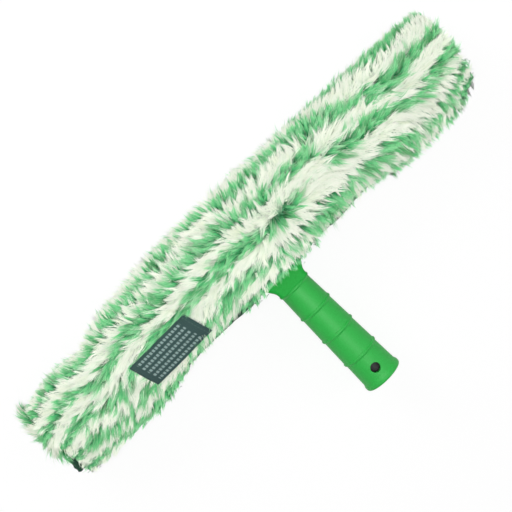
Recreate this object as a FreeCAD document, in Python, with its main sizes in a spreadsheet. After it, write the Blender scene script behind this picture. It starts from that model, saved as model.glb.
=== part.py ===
"""Window scrubber: a T-bar with a ringed grip, and a plush sleeve closed by tape on both sides of the neck.

Millimetres. The origin is the middle of the pole socket's mouth, +X runs along the bar, +Y from the
mouth to the bar, and +Z up from the floor that the sleeve lies on.
"""
import FreeCAD
import Part
import os

import Sketcher

os.makedirs("parts", exist_ok=True)
doc = FreeCAD.newDocument("scrubber")
dims = doc.addObject("Spreadsheet::Sheet", "Dims")

SIZES = {
    # Handle: the grip's length sets where the neck, the hub and the bar start
    "grip_length": 82.2,
    "neck_run": 4.0,
    "flare_run": 19.0,
    # Crossbar: a flat hollow tube with soak holes in both broad faces
    "bar_length": 330.0,
    "bar_width": 34.0,
    "bar_height": 14.0,
    "bar_wall": 2.0,
    "bar_corner": 6.4,
    "soak_dia": 7.0,
    "soak_first": 46.0,
    "soak_end": 7.0,
    "soak_count": 5,
    # End plugs
    "plug_cap": 3.0,
    "plug_depth": 12.0,
    "plug_wall": 1.6,
    "plug_round": 1.2,
    "fit_gap": 0.1,
    # Hub: two halves that clamp the bar and the handle's neck
    "hub_half": 24.0,
    "hub_cover": 4.0,
    "hub_wall": 2.0,
    "hub_neck": 11.2,
    "hub_blend": 7.0,
    "hub_round": 2.4,
    # Hub screws and nuts
    "screw_dia": 4.0,
    "hole_gap": 0.2,
    "head_dia": 7.4,
    "head_height": 2.8,
    "sink_gap": 0.4,
    "drive_across": 2.5,
    "drive_depth": 1.6,
    "nut_across": 7.0,
    "nut_height": 3.2,
    "nut_gap": 0.05,
    "bar_screw_x": 16.0,
    "neck_screw_x": 12.8,
    "neck_screw_in": 5.0,
    # Handle core and pole socket
    "socket_dia": 15.2,
    "socket_depth": 66.0,
    "core_wall": 1.8,
    "core_shoulder": 0.4,
    "spigot_short": 2.0,
    "spigot_bevel": 1.0,
    "pin_dia": 4.0,
    "pin_in": 11.0,
    "pin_length": 18.0,
    "lock_dia": 6.6,
    "lock_y": 11.0,
    # Grip: slim ridges on a taper, and a bead at the mouth
    "grip_wall": 2.3,
    "ring_count": 4,
    "ring_in": 0.9,
    "ring_pitch": 19.1,
    "ring_grow": 0.5,
    "ring_widen": 0.42,
    "ring_lip": 0.6,
    "ring_lead": 0.8,
    "ring_step": 0.8,
    "ring_flat": 0.7,
    "ring_fall": 1.0,
    "ring_round": 0.3,
    "bead_out": 0.55,
    "bead_root": 0.2,
    "bead_width": 3.0,
    "bead_fall": 1.8,
    # Sleeve: the pile's outer form, bowed away from the handle
    "pile_depth": 13.0,
    "end_pile": 8.0,
    "near_pile": 19.0,
    "near_bow": 5.5,
    "far_pile": 9.0,
    "far_bow": 8.5,
    "near_corner": 27.0,
    "far_corner": 23.0,
    "pile_round": 19.6,
    # Closure: flaps, tapes and end gussets
    "soft_gap": 0.3,
    "tongue_half": 25.0,
    "flap_over": 4.0,
    "flank_deg": 31.0,
    "seam_past": 2.0,
    "gusset_in": 1.0,
    "tape_gap": 0.4,
    "tape_width": 14.0,
    "tape_thick": 1.3,
    # Label: a folded ribbon
    "label_length": 45.0,
    "label_width": 19.5,
    "label_thick": 0.8,
    "label_inner": 1.4,
    "fold_share": 0.4,
    "label_from_tongue": 31.0,
    "label_in": 4.2,
    "stitch_dia": 0.7,
    "stitch_length": 2.4,
    "stitch_count": 7,
    "stitch_in": 1.0,
}

# Sizes and places that follow from the ones above
DERIVED = {
    "flare_start": "grip_length + neck_run",
    "bar_near": "flare_start + flare_run",
    "bar_y": "bar_near + bar_width / 2",
    "bar_far": "bar_near + bar_width",
    "soak_pitch": "(bar_length / 2 - soak_first - plug_depth - soak_end) / (soak_count - 1)",
    "hub_top": "bar_height / 2 + hub_cover",
    "hub_far": "bar_far + hub_wall",
    "screw_hole": "screw_dia + hole_gap * 2",
    "sink_dia": "head_dia + sink_gap * 2",
    "sink_depth": "head_height + sink_gap",
    "nut_bore": "screw_dia + nut_gap * 2",
    "neck_screw_y": "bar_near - neck_screw_in",
    "core_dia": "socket_dia + core_wall * 2",
    "spigot_dia": "core_dia - core_shoulder * 2",
    "spigot_end": "bar_near - spigot_short",
    "pin_y": "grip_length + pin_in",
    "last_ring": "core_dia / 2 + grip_wall + ring_widen * (ring_count - 1)",
    "bead_r": "last_ring + bead_out",
    "sleeve_half": "bar_length / 2 + plug_cap + end_pile",
    "sleeve_height": "bar_height + pile_depth * 2",
    "near_edge": "bar_near - near_pile",
    "far_edge": "bar_far + far_pile",
    "flap_end": "bar_length / 2 + plug_cap + flap_over",
    "hinge_z": "bar_height / 2 + pile_depth / 2",
    "tape_far": "bar_near - tape_gap",
    "tape_near": "tape_far - tape_width",
    "gusset_near": "bar_near + gusset_in",
    "label_x": "0 - tongue_half - label_from_tongue",
    "seam_y": "bar_y + seam_past",
    "label_far": "seam_y - label_in",
}


def fill_sheet():
    """Write every size once, as plain text with its own alias."""
    for row, (alias, value) in enumerate(SIZES.items(), start=1):
        dims.set(f"A{row}", alias)
        dims.set(f"B{row}", str(value))
        dims.setAlias(f"B{row}", alias)
    doc.recompute()


fill_sheet()


def expr(text):
    """Turn size names in a formula into references to the sheet."""
    words = []
    word = ""
    for letter in text + " ":
        if letter.isalnum() or letter == "_":
            word += letter
            continue
        words.append(cell(word))
        words.append(letter)
        word = ""
    return "".join(words).strip()


def cell(word):
    """A word of a formula: a size's cell, a derived size spelled out, or the word itself."""
    if word in DERIVED:
        return "(" + expr(DERIVED[word]) + ")"
    return f"Dims.{word}" if word in SIZES else word


def value(text):
    """Work out a formula of size names as a number, through the sheet."""
    return float(dims.evalExpression(expr(text)))


def new_body(label):
    body = doc.addObject("PartDesign::Body", label)
    body.Label = label
    return body


def plane_of(body, role):
    return next(f for f in body.Origin.OriginFeatures if f.Role == role)


def new_sketch(body, name, role, offset=None):
    """A sketch on one of the body's own planes, pushed along its normal by a formula."""
    sketch = body.newObject("Sketcher::SketchObject", name)
    sketch.AttachmentSupport = (plane_of(body, role), [""])
    sketch.MapMode = "FlatFace"
    if offset:
        sketch.setExpression(".AttachmentOffset.Base.z", expr(offset))
    return sketch


def hold(sketch, kind, first, second, text):
    """Bind the distance of a point from the sketch's origin to a formula."""
    start = value(text)
    if abs(start) < 1e-9:
        axis = -2 if kind == "DistanceX" else -1
        sketch.addConstraint(Sketcher.Constraint("PointOnObject", first, second, axis))
        return
    index = sketch.addConstraint(Sketcher.Constraint(kind, -1, 1, first, second, start))
    sketch.setExpression(f"Constraints[{index}]", expr(text))


def outline(sketch, corners, arcs=None):
    """A closed outline through corners given as formula pairs; arcs gives a side's bulge by its index."""
    arcs = arcs or {}
    spots = [FreeCAD.Vector(value(x), value(y), 0) for x, y in corners]
    count = len(spots)
    sides = []
    for i, here in enumerate(spots):
        there = spots[(i + 1) % count]
        if i in arcs:
            middle = (here + there) / 2
            run = there - here
            away = FreeCAD.Vector(run.y, -run.x, 0).normalize() * value(arcs[i])
            shape = Part.Arc(here, middle + away, there)
        else:
            shape = Part.LineSegment(here, there)
        sides.append(sketch.addGeometry(shape, False))
    ends = [arc_ends(sketch, side, spots[i]) for i, side in enumerate(sides)]
    for i, side in enumerate(sides):
        after = (i + 1) % count
        sketch.addConstraint(
            Sketcher.Constraint("Coincident", side, ends[i][1], sides[after], ends[after][0])
        )
        hold(sketch, "DistanceX", side, ends[i][0], corners[i][0])
        hold(sketch, "DistanceY", side, ends[i][0], corners[i][1])
        if i in arcs:
            radius = sketch.Geometry[side].Radius
            index = sketch.addConstraint(Sketcher.Constraint("Radius", side, radius))
            sketch.setExpression(f"Constraints[{index}]", arc_radius(corners[i], corners[after], arcs[i]))
    return sketch


def arc_radius(here, there, bulge):
    """The radius of an arc from its two ends and how far it bulges."""
    run, rise = [f"({there[k]} - ({here[k]}))" for k in (0, 1)]
    return expr(f"({run}^2 / 4 + {rise}^2 / 4 + ({bulge})^2) / abs(2 * ({bulge}))")


def arc_ends(sketch, side, begins_at):
    """Which of a side's two ends comes first along the outline."""
    first = sketch.getPoint(side, 1)
    return (1, 2) if first.distanceToPoint(begins_at) < 1e-6 else (2, 1)


def box_outline(sketch, half_x, half_y, mid_x="0", mid_y="0"):
    left, right = f"{mid_x} - {half_x}", f"{mid_x} + {half_x}"
    low, high = f"{mid_y} - {half_y}", f"{mid_y} + {half_y}"
    return outline(sketch, [(left, low), (right, low), (right, high), (left, high)])


def disc(sketch, dia, mid_x="0", mid_y="0"):
    """A circle of a named diameter round a point given by formulas."""
    centre = FreeCAD.Vector(value(mid_x), value(mid_y), 0)
    normal = FreeCAD.Vector(0, 0, 1)
    side = sketch.addGeometry(Part.Circle(centre, normal, value(dia) / 2), False)
    hold(sketch, "DistanceX", side, 3, mid_x)
    hold(sketch, "DistanceY", side, 3, mid_y)
    index = sketch.addConstraint(Sketcher.Constraint("Diameter", side, value(dia)))
    sketch.setExpression(f"Constraints[{index}]", expr(dia))
    return sketch


def pad(body, sketch, length, midplane=False, back=False):
    feature = body.newObject("PartDesign::Pad", sketch.Name + "_pad")
    feature.Profile = sketch
    feature.setExpression("Length", expr(length))
    feature.Midplane = midplane
    feature.Reversed = back
    doc.recompute()
    return feature


def pocket(body, sketch, depth=None, midplane=False, back=False):
    """A cut of a named depth, or right through when none is given."""
    feature = body.newObject("PartDesign::Pocket", sketch.Name + "_cut")
    feature.Profile = sketch
    feature.Midplane = midplane
    feature.Reversed = back
    if depth:
        feature.setExpression("Length", expr(depth))
    else:
        feature.Type = "ThroughAll"
    doc.recompute()
    return feature


def row(body, feature, count, pitch):
    """Repeat a feature along X."""
    pattern = body.newObject("PartDesign::LinearPattern", feature.Name + "_row")
    pattern.Originals = [feature]
    pattern.Direction = (plane_axis(body, "X_Axis"), [""])
    pattern.setExpression("Occurrences", expr(count))
    pattern.setExpression("Length", expr(f"{pitch} * ({count} - 1)"))
    body.Tip = pattern
    doc.recompute()
    return pattern


def plane_axis(body, role):
    return next(f for f in body.Origin.OriginFeatures if f.Role == role)


def edges_where(feature, test):
    """Names of a feature's edges that pass a test."""
    return [f"Edge{i}" for i, edge in enumerate(feature.Shape.Edges, start=1) if test(edge)]


def fillet(body, feature, test, radius):
    rounding = body.newObject("PartDesign::Fillet", feature.Name + "_round")
    rounding.Base = (feature, edges_where(feature, test))
    rounding.setExpression("Radius", expr(radius))
    doc.recompute()
    return rounding


def upright(edge):
    """An edge that runs along Z."""
    return edge.BoundBox.XLength < 1e-6 and edge.BoundBox.YLength < 1e-6


def along_x(edge):
    """An edge that runs along X."""
    return edge.BoundBox.YLength < 1e-6 and edge.BoundBox.ZLength < 1e-6


def at_height(level):
    """A test for edges that lie flat at a height."""
    return lambda edge: edge.BoundBox.ZLength < 1e-6 and abs(edge.BoundBox.ZMin - level) < 1e-4


def at_x(place):
    """A test for edges in the plane across the bar at a place."""
    return lambda edge: edge.BoundBox.XLength < 1e-6 and abs(edge.BoundBox.XMin - place) < 1e-4


def flat_tube(label, length, grow):
    """A solid with the bar's outer profile, grown on all sides by a formula."""
    body = new_body(label)
    profile = new_sketch(body, label + "_profile", "YZ_Plane")
    box_outline(profile, f"(bar_width / 2 + {grow})", f"(bar_height / 2 + {grow})", mid_x="bar_y")
    solid = pad(body, profile, length, midplane=True)
    fillet(body, solid, along_x, f"bar_corner + {grow}")
    return body


def make_crossbar():
    body = flat_tube("crossbar", "bar_length", "0")
    inside = new_sketch(body, "bar_inside", "YZ_Plane")
    box_outline(inside, "(bar_width / 2 - bar_wall)", "(bar_height / 2 - bar_wall)", mid_x="bar_y")
    hollow = pocket(body, inside, "bar_length", midplane=True)
    inner = value("bar_width / 2 - bar_wall")
    middle = value("bar_y")
    fillet(
        body,
        hollow,
        lambda e: along_x(e) and abs(abs(e.BoundBox.YMin - middle) - inner) < 1e-4,
        "bar_corner - bar_wall",
    )
    spot = disc(new_sketch(body, "soak_hole", "XY_Plane"), "soak_dia", "soak_first", "bar_y")
    hole = pocket(body, spot, "bar_height * 2", midplane=True)
    row(body, hole, "soak_count", "soak_pitch")
    last = "-soak_first - soak_pitch * (soak_count - 1)"
    spot = disc(new_sketch(body, "soak_hole_left", "XY_Plane"), "soak_dia", last, "bar_y")
    hole = pocket(body, spot, "bar_height * 2", midplane=True)
    row(body, hole, "soak_count", "soak_pitch")
    screw = new_sketch(body, "bar_screw_holes", "XY_Plane")
    disc(screw, "screw_hole", "bar_screw_x", "bar_y")
    disc(screw, "screw_hole", "-bar_screw_x", "bar_y")
    pocket(body, screw, "bar_height * 2", midplane=True)
    return body


def make_plug(label, side):
    """A cap with a hollow spigot; side is 1 on the right and -1 on the left."""
    body = new_body(label)
    end = "bar_length / 2" if side > 0 else "-bar_length / 2"
    back = side < 0
    cap = new_sketch(body, label + "_cap", "YZ_Plane", end)
    box_outline(cap, "bar_width / 2", "bar_height / 2", mid_x="bar_y")
    solid = pad(body, cap, "plug_cap", back=back)
    solid = fillet(body, solid, along_x, "bar_corner")
    face = value(f"{end} + {side} * plug_cap")
    fillet(body, solid, at_x(face), "plug_round")
    stem = new_sketch(body, label + "_stem", "YZ_Plane", end)
    reach = "bar_wall + fit_gap"
    box_outline(stem, f"(bar_width / 2 - ({reach}))", f"(bar_height / 2 - ({reach}))", mid_x="bar_y")
    solid = pad(body, stem, "plug_depth", back=not back)
    inner = value(f"bar_width / 2 - ({reach})")
    middle = value("bar_y")
    fillet(
        body,
        solid,
        lambda e: along_x(e) and abs(abs(e.BoundBox.YMin - middle) - inner) < 1e-4,
        "bar_corner - bar_wall - fit_gap",
    )
    hollow = new_sketch(body, label + "_hollow", "YZ_Plane", f"{end} - {side} * plug_depth")
    reach = "bar_wall + fit_gap + plug_wall"
    box_outline(hollow, f"(bar_width / 2 - ({reach}))", f"(bar_height / 2 - ({reach}))", mid_x="bar_y")
    before = body.Shape.Volume
    cut = pocket(body, hollow, "plug_depth", back=not back)
    if body.Shape.Volume > before - 1:
        cut.Reversed = back
        doc.recompute()
    return body


def hub_outline(sketch):
    """The hub from above: a neck that flares out to the width that clamps the bar."""
    return outline(
        sketch,
        [
            ("-hub_neck", "grip_length"),
            ("hub_neck", "grip_length"),
            ("hub_neck", "flare_start"),
            ("hub_half", "bar_near"),
            ("hub_half", "hub_far"),
            ("-hub_half", "hub_far"),
            ("-hub_half", "bar_near"),
            ("-hub_neck", "flare_start"),
        ],
    )


def hub_block(label, side):
    """One half of the hub before anything is cut from it."""
    body = new_body(label)
    sketch = hub_outline(new_sketch(body, label + "_plan", "XY_Plane"))
    solid = pad(body, sketch, "hub_top", back=side < 0)
    flares = (value("flare_start"), value("bar_near"), value("hub_far"))
    solid = fillet(
        body,
        solid,
        lambda e: upright(e) and any(abs(e.BoundBox.YMin - y) < 1e-4 for y in flares),
        "hub_blend",
    )
    face = at_height(value("hub_top") * side)
    past_neck = value("grip_length + neck_run / 4")
    fillet(body, solid, lambda e: face(e) and e.BoundBox.YMax > past_neck, "hub_round")
    return body


def screw_spots():
    return [
        ("bar_screw_x", "bar_y"),
        ("-bar_screw_x", "bar_y"),
        ("neck_screw_x", "neck_screw_y"),
        ("-neck_screw_x", "neck_screw_y"),
    ]


def make_hub(label, side):
    """A hub half; side is 1 for the front, with the screw heads, and -1 for the back, with the nuts."""
    body = hub_block(label, side)
    channel = new_sketch(body, label + "_channel", "YZ_Plane")
    box_outline(channel, "(bar_width / 2 + fit_gap)", "(bar_height / 2 + fit_gap)", mid_x="bar_y")
    cut = pocket(body, channel, "hub_half * 4", midplane=True)
    top = value("bar_height / 2 + fit_gap") * side
    fillet(body, cut, lambda e: along_x(e) and abs(e.BoundBox.ZMin - top) < 1e-4, "bar_corner + fit_gap")
    bore = new_sketch(body, label + "_neck_bore", "XZ_Plane", "-grip_length")
    disc(bore, "spigot_dia")
    before = body.Shape.Volume
    cut = pocket(body, bore, "spigot_end - grip_length + fit_gap")
    if body.Shape.Volume > before - 1:
        cut.Reversed = True
        doc.recompute()
    holes = new_sketch(body, label + "_screw_holes", "XY_Plane")
    for x, y in screw_spots():
        disc(holes, "screw_hole", x, y)
    pocket(body, holes, "hub_top * 4", midplane=True)
    pin = disc(new_sketch(body, label + "_pin_hole", "XY_Plane"), "pin_dia", "0", "pin_y")
    pocket(body, pin, "pin_length", midplane=True)
    sinks = new_sketch(body, label + "_sinks", "XY_Plane", f"{side} * hub_top")
    for x, y in screw_spots():
        if side > 0:
            disc(sinks, "sink_dia", x, y)
        else:
            hexagon(sinks, "nut_across + fit_gap * 2", x, y)
    before = body.Shape.Volume
    cut = pocket(body, sinks, "sink_depth" if side > 0 else "nut_height", back=side < 0)
    if body.Shape.Volume > before - 1:
        cut.Reversed = side > 0
        doc.recompute()
    return body


def hexagon(sketch, across, mid_x, mid_y):
    """A hexagon with two corners along X, of a width across flats."""
    far = f"({across}) / sqrt(3)"
    near = f"({across}) / sqrt(12)"
    flat = f"({across}) / 2"
    right = [(near, f"-{flat}"), (far, "0"), (near, flat)]
    corners = right + [(f"-{x}", y) for x, y in reversed(right)]
    return outline(sketch, [(f"{mid_x} + {x}", f"{mid_y} + {y}") for x, y in corners])


def make_screw(name, x, y):
    """A pan-head screw that hangs from the hub's sunk seat."""
    body = new_body(name)
    shank = disc(new_sketch(body, name + "_shank", "XY_Plane", "hub_top - sink_depth"), "screw_dia", x, y)
    pad(body, shank, "hub_top * 2 - sink_depth - fit_gap", back=True)
    head = disc(new_sketch(body, name + "_head", "XY_Plane", "hub_top - sink_depth"), "head_dia", x, y)
    solid = pad(body, head, "head_height")
    level = value("hub_top - sink_depth + head_height")
    fillet(body, solid, at_height(level), "head_height / 3")
    drive = new_sketch(body, name + "_drive", "XY_Plane", "hub_top - sink_depth + head_height")
    hexagon(drive, "drive_across", x, y)
    pocket(body, drive, "drive_depth")
    return body


def make_nut(name, x, y):
    body = new_body(name)
    sketch = new_sketch(body, name + "_plan", "XY_Plane", "-hub_top")
    hexagon(sketch, "nut_across", x, y)
    disc(sketch, "nut_bore", x, y)
    pad(body, sketch, "nut_height")
    return body


def group(label, pieces):
    """Separate solids kept as one node."""
    node = doc.addObject("Part::Compound", label)
    node.Label = label
    node.Links = pieces
    doc.recompute()
    return node


def turned(body, sketch):
    """Revolve a sketch about the handle's axis."""
    feature = body.newObject("PartDesign::Revolution", sketch.Name + "_turn")
    feature.Profile = sketch
    feature.ReferenceAxis = (sketch, ["V_Axis"])
    feature.Angle = 360
    doc.recompute()
    return feature


def lock_hole(body, name):
    """The hole in the upper wall that a pole's spring button snaps into."""
    sketch = disc(new_sketch(body, name, "XY_Plane"), "lock_dia", "0", "lock_y")
    return pocket(body, sketch, "bead_r * 2", back=True)


def make_core():
    """The handle's stiff tube: a pole socket at the mouth and a solid spigot in the hub."""
    body = new_body("handle_core")
    sketch = new_sketch(body, "core_profile", "XY_Plane")
    outline(
        sketch,
        [
            ("socket_dia / 2", "0"),
            ("core_dia / 2", "0"),
            ("core_dia / 2", "grip_length"),
            ("spigot_dia / 2", "grip_length"),
            ("spigot_dia / 2", "spigot_end - spigot_bevel"),
            ("spigot_dia / 2 - spigot_bevel", "spigot_end"),
            ("0", "spigot_end"),
            ("0", "socket_depth"),
            ("socket_dia / 2", "socket_depth"),
        ],
    )
    turned(body, sketch)
    lock_hole(body, "core_lock")
    pin = disc(new_sketch(body, "core_pin_hole", "XY_Plane"), "pin_dia", "0", "pin_y")
    pocket(body, pin, "core_dia * 2", midplane=True)
    return body


def ring_place(number):
    """How far a ridge lies from the mouth, counted from the neck."""
    return f"grip_length - ring_in - {number} * ring_pitch - {number * (number - 1) / 2} * ring_grow"


def make_grip():
    """The soft shell over the core: a taper with a slim ridge at each ring place."""
    numbers = range(int(value("ring_count")))
    places = [ring_place(number) for number in numbers]
    first = "core_dia / 2 + grip_wall"
    corners = [("core_dia / 2", "grip_length"), (f"{first} - ring_step / 2", "grip_length")]
    for number, place in zip(numbers, places):
        radius = f"{first} + {number} * ring_widen"
        if number:
            corners.append((f"{radius} - ring_lip", f"{place} + ring_flat / 2 + ring_lead"))
        corners.append((radius, f"{place} + ring_flat / 2"))
        corners.append((radius, f"{place} - ring_flat / 2"))
        corners.append((f"{radius} - ring_step", f"{place} - ring_flat / 2 - ring_fall"))
    corners.append(("last_ring - bead_root", "bead_width + bead_fall"))
    corners.append(("bead_r", "bead_width"))
    corners.append(("bead_r", "0"))
    corners.append(("core_dia / 2", "0"))
    body = new_body("grip")
    solid = turned(body, outline(new_sketch(body, "grip_profile", "XY_Plane"), corners))
    levels = [value(f"{place} + {end} * ring_flat / 2") for place in places for end in (1, -1)]
    levels += [value(f"{place} - ring_flat / 2 - ring_fall") for place in places]

    def ridge(edge):
        flat = edge.BoundBox.YLength < 1e-6
        return flat and any(abs(edge.BoundBox.YMin - y) < 1e-4 for y in levels)

    solid = fillet(body, solid, ridge, "ring_round")
    mouth = value("bead_r")

    def rim(edge):
        flat = edge.BoundBox.YLength < 1e-6
        return flat and abs(edge.BoundBox.YMin) < 1e-4 and abs(edge.BoundBox.XMax - mouth) < 1e-3

    solid = fillet(body, solid, rim, "bead_width / 2")
    lock_hole(body, "grip_lock")
    return body


def make_pin():
    body = new_body("neck_pin")
    sketch = disc(new_sketch(body, "pin_plan", "XY_Plane"), "pin_dia", "0", "pin_y")
    pad(body, sketch, "pin_length", midplane=True)
    return body


def make_pile():
    """The whole outer form of the pile before it is parted into pieces."""
    body = new_body("pile")
    sketch = new_sketch(body, "pile_plan", "XY_Plane")
    corners = [
        ("-sleeve_half", "near_edge"),
        ("sleeve_half", "near_edge"),
        ("sleeve_half", "far_edge"),
        ("-sleeve_half", "far_edge"),
    ]
    outline(sketch, corners, {0: "-near_bow", 2: "far_bow"})
    solid = pad(body, sketch, "sleeve_height", midplane=True)
    for side in ("near", "far"):
        level = value(f"{side}_edge")
        solid = fillet(
            body,
            solid,
            lambda e: upright(e) and abs(e.BoundBox.YMin - level) < 1e-3,
            f"{side}_corner",
        )
    half = value("sleeve_height / 2")
    level_edge = at_height(half)
    floor_edge = at_height(-half)
    fillet(body, solid, lambda e: level_edge(e) or floor_edge(e), "pile_round")
    return body


def prism(label, corners, start, length):
    """A straight block across the bar, from a YZ outline, that starts at an X place."""
    body = new_body(label)
    pad(body, outline(new_sketch(body, label + "_section", "YZ_Plane", start), corners), length)
    return body


def flap_zone(label, grow, start, length):
    """A flap's section, from the seam over the bar and down to the tapes.

    grow is -1 for the flap itself and 1 for the room that the sleeve leaves it.
    """
    seam = f"seam_y + {grow} * soft_gap / 2"
    near = "near_edge - near_pile"
    edge = f"bar_near - soft_gap / 2 + {grow} * soft_gap / 2"
    low = f"{-grow} * (tape_thick + soft_gap / 2)"
    roof = f"bar_height / 2 + soft_gap / 2 - {grow} * soft_gap / 2"
    rise = f"{grow} * (sleeve_height - hinge_z) * tan(flank_deg * 1 deg)"
    corners = [
        (near, low),
        (edge, low),
        (edge, roof),
        (seam, roof),
        (seam, "hinge_z"),
        (f"{seam} + {rise}", "sleeve_height"),
        (near, "sleeve_height"),
    ]
    return prism(label, corners, start, length)


def cut(label, base, tools):
    """What is left of base without the tools."""
    tool = tools[0]
    if len(tools) > 1:
        tool = doc.addObject("Part::MultiFuse", label + "_tools")
        tool.Shapes = tools
    node = doc.addObject("Part::Cut", label)
    node.Label = label
    node.Base = base
    node.Tool = tool
    doc.recompute()
    return node


def common(label, pieces):
    node = doc.addObject("Part::MultiCommon", label)
    node.Label = label
    node.Shapes = pieces
    doc.recompute()
    return node


def make_sleeve():
    """Part the pile into the sleeve, two flaps and two end gussets, round the bar and the hub."""
    pile = make_pile()
    bar_room = flat_tube("bar_room", "bar_length + plug_cap * 2", "0")
    hub_room = doc.addObject("Part::MultiFuse", "hub_room")
    hub_room.Shapes = [hub_block("hub_room_front", 1), hub_block("hub_room_back", -1)]
    doc.recompute()
    nodes = []
    removed = [bar_room, hub_room]
    for side, name in ((-1, "left"), (1, "right")):
        inner, outer = "tongue_half", "flap_end"
        start = f"-{outer}" if side < 0 else inner
        zone = flap_zone(f"flap_zone_{name}", -1, start, f"{outer} - {inner}")
        nodes.append(common(f"flap_{name}", [pile, zone]))
        start = f"-{outer} - soft_gap" if side < 0 else f"{inner} - soft_gap"
        length = f"{outer} - {inner} + soft_gap * 2"
        removed.append(flap_zone(f"flap_room_{name}", 1, start, length))
        gusset = end_zone(f"gusset_zone_{name}", side)
        nodes.append(common(f"end_gusset_{name}", [pile, gusset]))
        removed.append(gusset)
    nodes.append(cut("sleeve_plush", pile, removed))
    return nodes


def end_zone(label, side):
    """The room of an end gusset: past the flap's end and far of the tape's inner edge."""
    start = "flap_end + soft_gap" if side > 0 else "-sleeve_half * 2"
    near, far = "gusset_near", "far_edge + far_pile * 2"
    low, high = "-sleeve_height", "sleeve_height"
    corners = [(near, low), (far, low), (far, high), (near, high)]
    return prism(label, corners, start, "sleeve_half * 2 - flap_end - soft_gap")


def make_tape(label, side, top):
    """A strip of hook or loop tape; top is 1 on the flap and -1 on the lower lip."""
    body = new_body(label)
    level = "soft_gap / 2" if top > 0 else "-soft_gap / 2"
    sketch = new_sketch(body, label + "_plan", "XY_Plane", level)
    near, far = "tape_near", "tape_far"
    inner, outer = "tongue_half", "flap_end"
    left, right = (inner, outer) if side > 0 else (f"-{outer}", f"-{inner}")
    outline(sketch, [(left, near), (right, near), (right, far), (left, far)])
    solid = pad(body, sketch, "tape_thick", back=top < 0)
    fillet(body, solid, upright, "tape_thick")
    return body


def make_label():
    """A ribbon folded back on itself: two layers joined by a round fold at the free end."""
    body = new_body("label")
    sketch = new_sketch(body, "label_section", "XZ_Plane", "-label_far")
    floor = "sleeve_height / 2 + soft_gap"
    bend = "(label_thick + label_inner / 2)"
    free = f"label_x - label_length + {bend}"
    low, high = floor, f"{floor} + 2 * {bend}"
    inner_low, inner_high = f"{floor} + label_thick", f"{floor} + label_thick + label_inner"
    outline(
        sketch,
        [
            ("label_x", low),
            ("label_x", inner_low),
            (free, inner_low),
            (free, inner_high),
            ("label_x", inner_high),
            ("label_x", high),
            (free, high),
            (free, low),
        ],
        {2: "-label_inner * fold_share", 6: f"{bend} * fold_share * 2"},
    )
    solid = pad(body, sketch, "label_width")
    if body.Shape.BoundBox.YMax > value("label_far") + 1:
        solid.Reversed = True
        doc.recompute()
    return body


def make_stitches():
    """A row of thread stitches on the label's sewn end."""
    pieces = []
    top = "sleeve_height / 2 + soft_gap + label_thick * 2 + label_inner"
    start = "label_x - stitch_in - stitch_length"
    for i in range(int(value("stitch_count"))):
        name = f"stitch_{i + 1}"
        place = f"label_far - label_width * {i + 0.5} / stitch_count"
        body = new_body(name)
        sketch = new_sketch(body, name + "_end", "YZ_Plane", start)
        disc(sketch, "stitch_dia", place, f"{top} + stitch_dia / 2")
        pad(body, sketch, "stitch_length")
        pieces.append(body)
    return group("label_stitches", pieces)


NODES = [
    make_crossbar(),
    make_plug("end_plug_left", -1),
    make_plug("end_plug_right", 1),
    make_hub("hub_front", 1),
    make_hub("hub_back", -1),
    group("hub_screws", [make_screw(f"screw_{i}", x, y) for i, (x, y) in enumerate(screw_spots(), 1)]),
    group("hub_nuts", [make_nut(f"nut_{i}", x, y) for i, (x, y) in enumerate(screw_spots(), 1)]),
    make_core(),
    make_grip(),
    make_pin(),
]
NODES += make_sleeve()
for SIDE, NAME in ((-1, "left"), (1, "right")):
    NODES.append(make_tape(f"hook_tape_{NAME}", SIDE, 1))
    NODES.append(make_tape(f"loop_tape_{NAME}", SIDE, -1))
NODES.append(make_label())
NODES.append(make_stitches())
doc.recompute()


def check_and_write():
    """Stop at any object in error, then write each sub-part to its own file."""
    for item in doc.Objects:
        faults = [word for word in item.State if word in ("Invalid", "Error")]
        if faults:
            raise RuntimeError(f"{item.Label}: {faults}")
    for node in NODES:
        shape = node.Shape
        if shape.isNull() or not shape.isValid():
            raise RuntimeError(f"{node.Label}: bad shape")
        box = shape.BoundBox
        reach = (box.XMin, box.XMax, box.YMin, box.YMax, box.ZMin, box.ZMax)
        print(node.Label, len(shape.Solids), round(shape.Volume), [round(v, 2) for v in reach])
        shape.exportStep(f"parts/{node.Label}.step")


check_and_write()
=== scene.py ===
"""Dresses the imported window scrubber: plush sleeve, tapes, woven label, plastic handle, soft studio."""

import math

import bpy
import numpy as np
from mathutils import Matrix, Vector


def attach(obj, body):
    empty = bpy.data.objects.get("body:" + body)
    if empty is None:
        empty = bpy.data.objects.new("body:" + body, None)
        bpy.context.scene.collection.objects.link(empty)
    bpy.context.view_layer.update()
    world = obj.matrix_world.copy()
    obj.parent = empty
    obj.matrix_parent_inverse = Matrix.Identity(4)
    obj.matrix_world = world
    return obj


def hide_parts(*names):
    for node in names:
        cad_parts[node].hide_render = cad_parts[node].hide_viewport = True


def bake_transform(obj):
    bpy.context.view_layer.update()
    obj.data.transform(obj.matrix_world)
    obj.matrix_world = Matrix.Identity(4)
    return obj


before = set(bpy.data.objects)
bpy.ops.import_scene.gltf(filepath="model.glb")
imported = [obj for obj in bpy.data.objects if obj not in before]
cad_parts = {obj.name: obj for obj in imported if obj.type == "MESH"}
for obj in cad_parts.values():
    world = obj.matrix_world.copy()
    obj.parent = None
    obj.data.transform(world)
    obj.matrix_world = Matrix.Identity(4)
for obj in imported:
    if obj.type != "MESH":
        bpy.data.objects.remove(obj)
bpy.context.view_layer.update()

# Lengths are in millimetres, in the frame's axes: X along the bar, Y from the socket to the bar, Z up
MM = 0.001
BAR_Y = 122.2
FLOOR_Z = -20.0
SLEEVE_HALF = 178.0
LEFT_AND_RIGHT = ((-1, "left"), (1, "right"))

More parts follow.
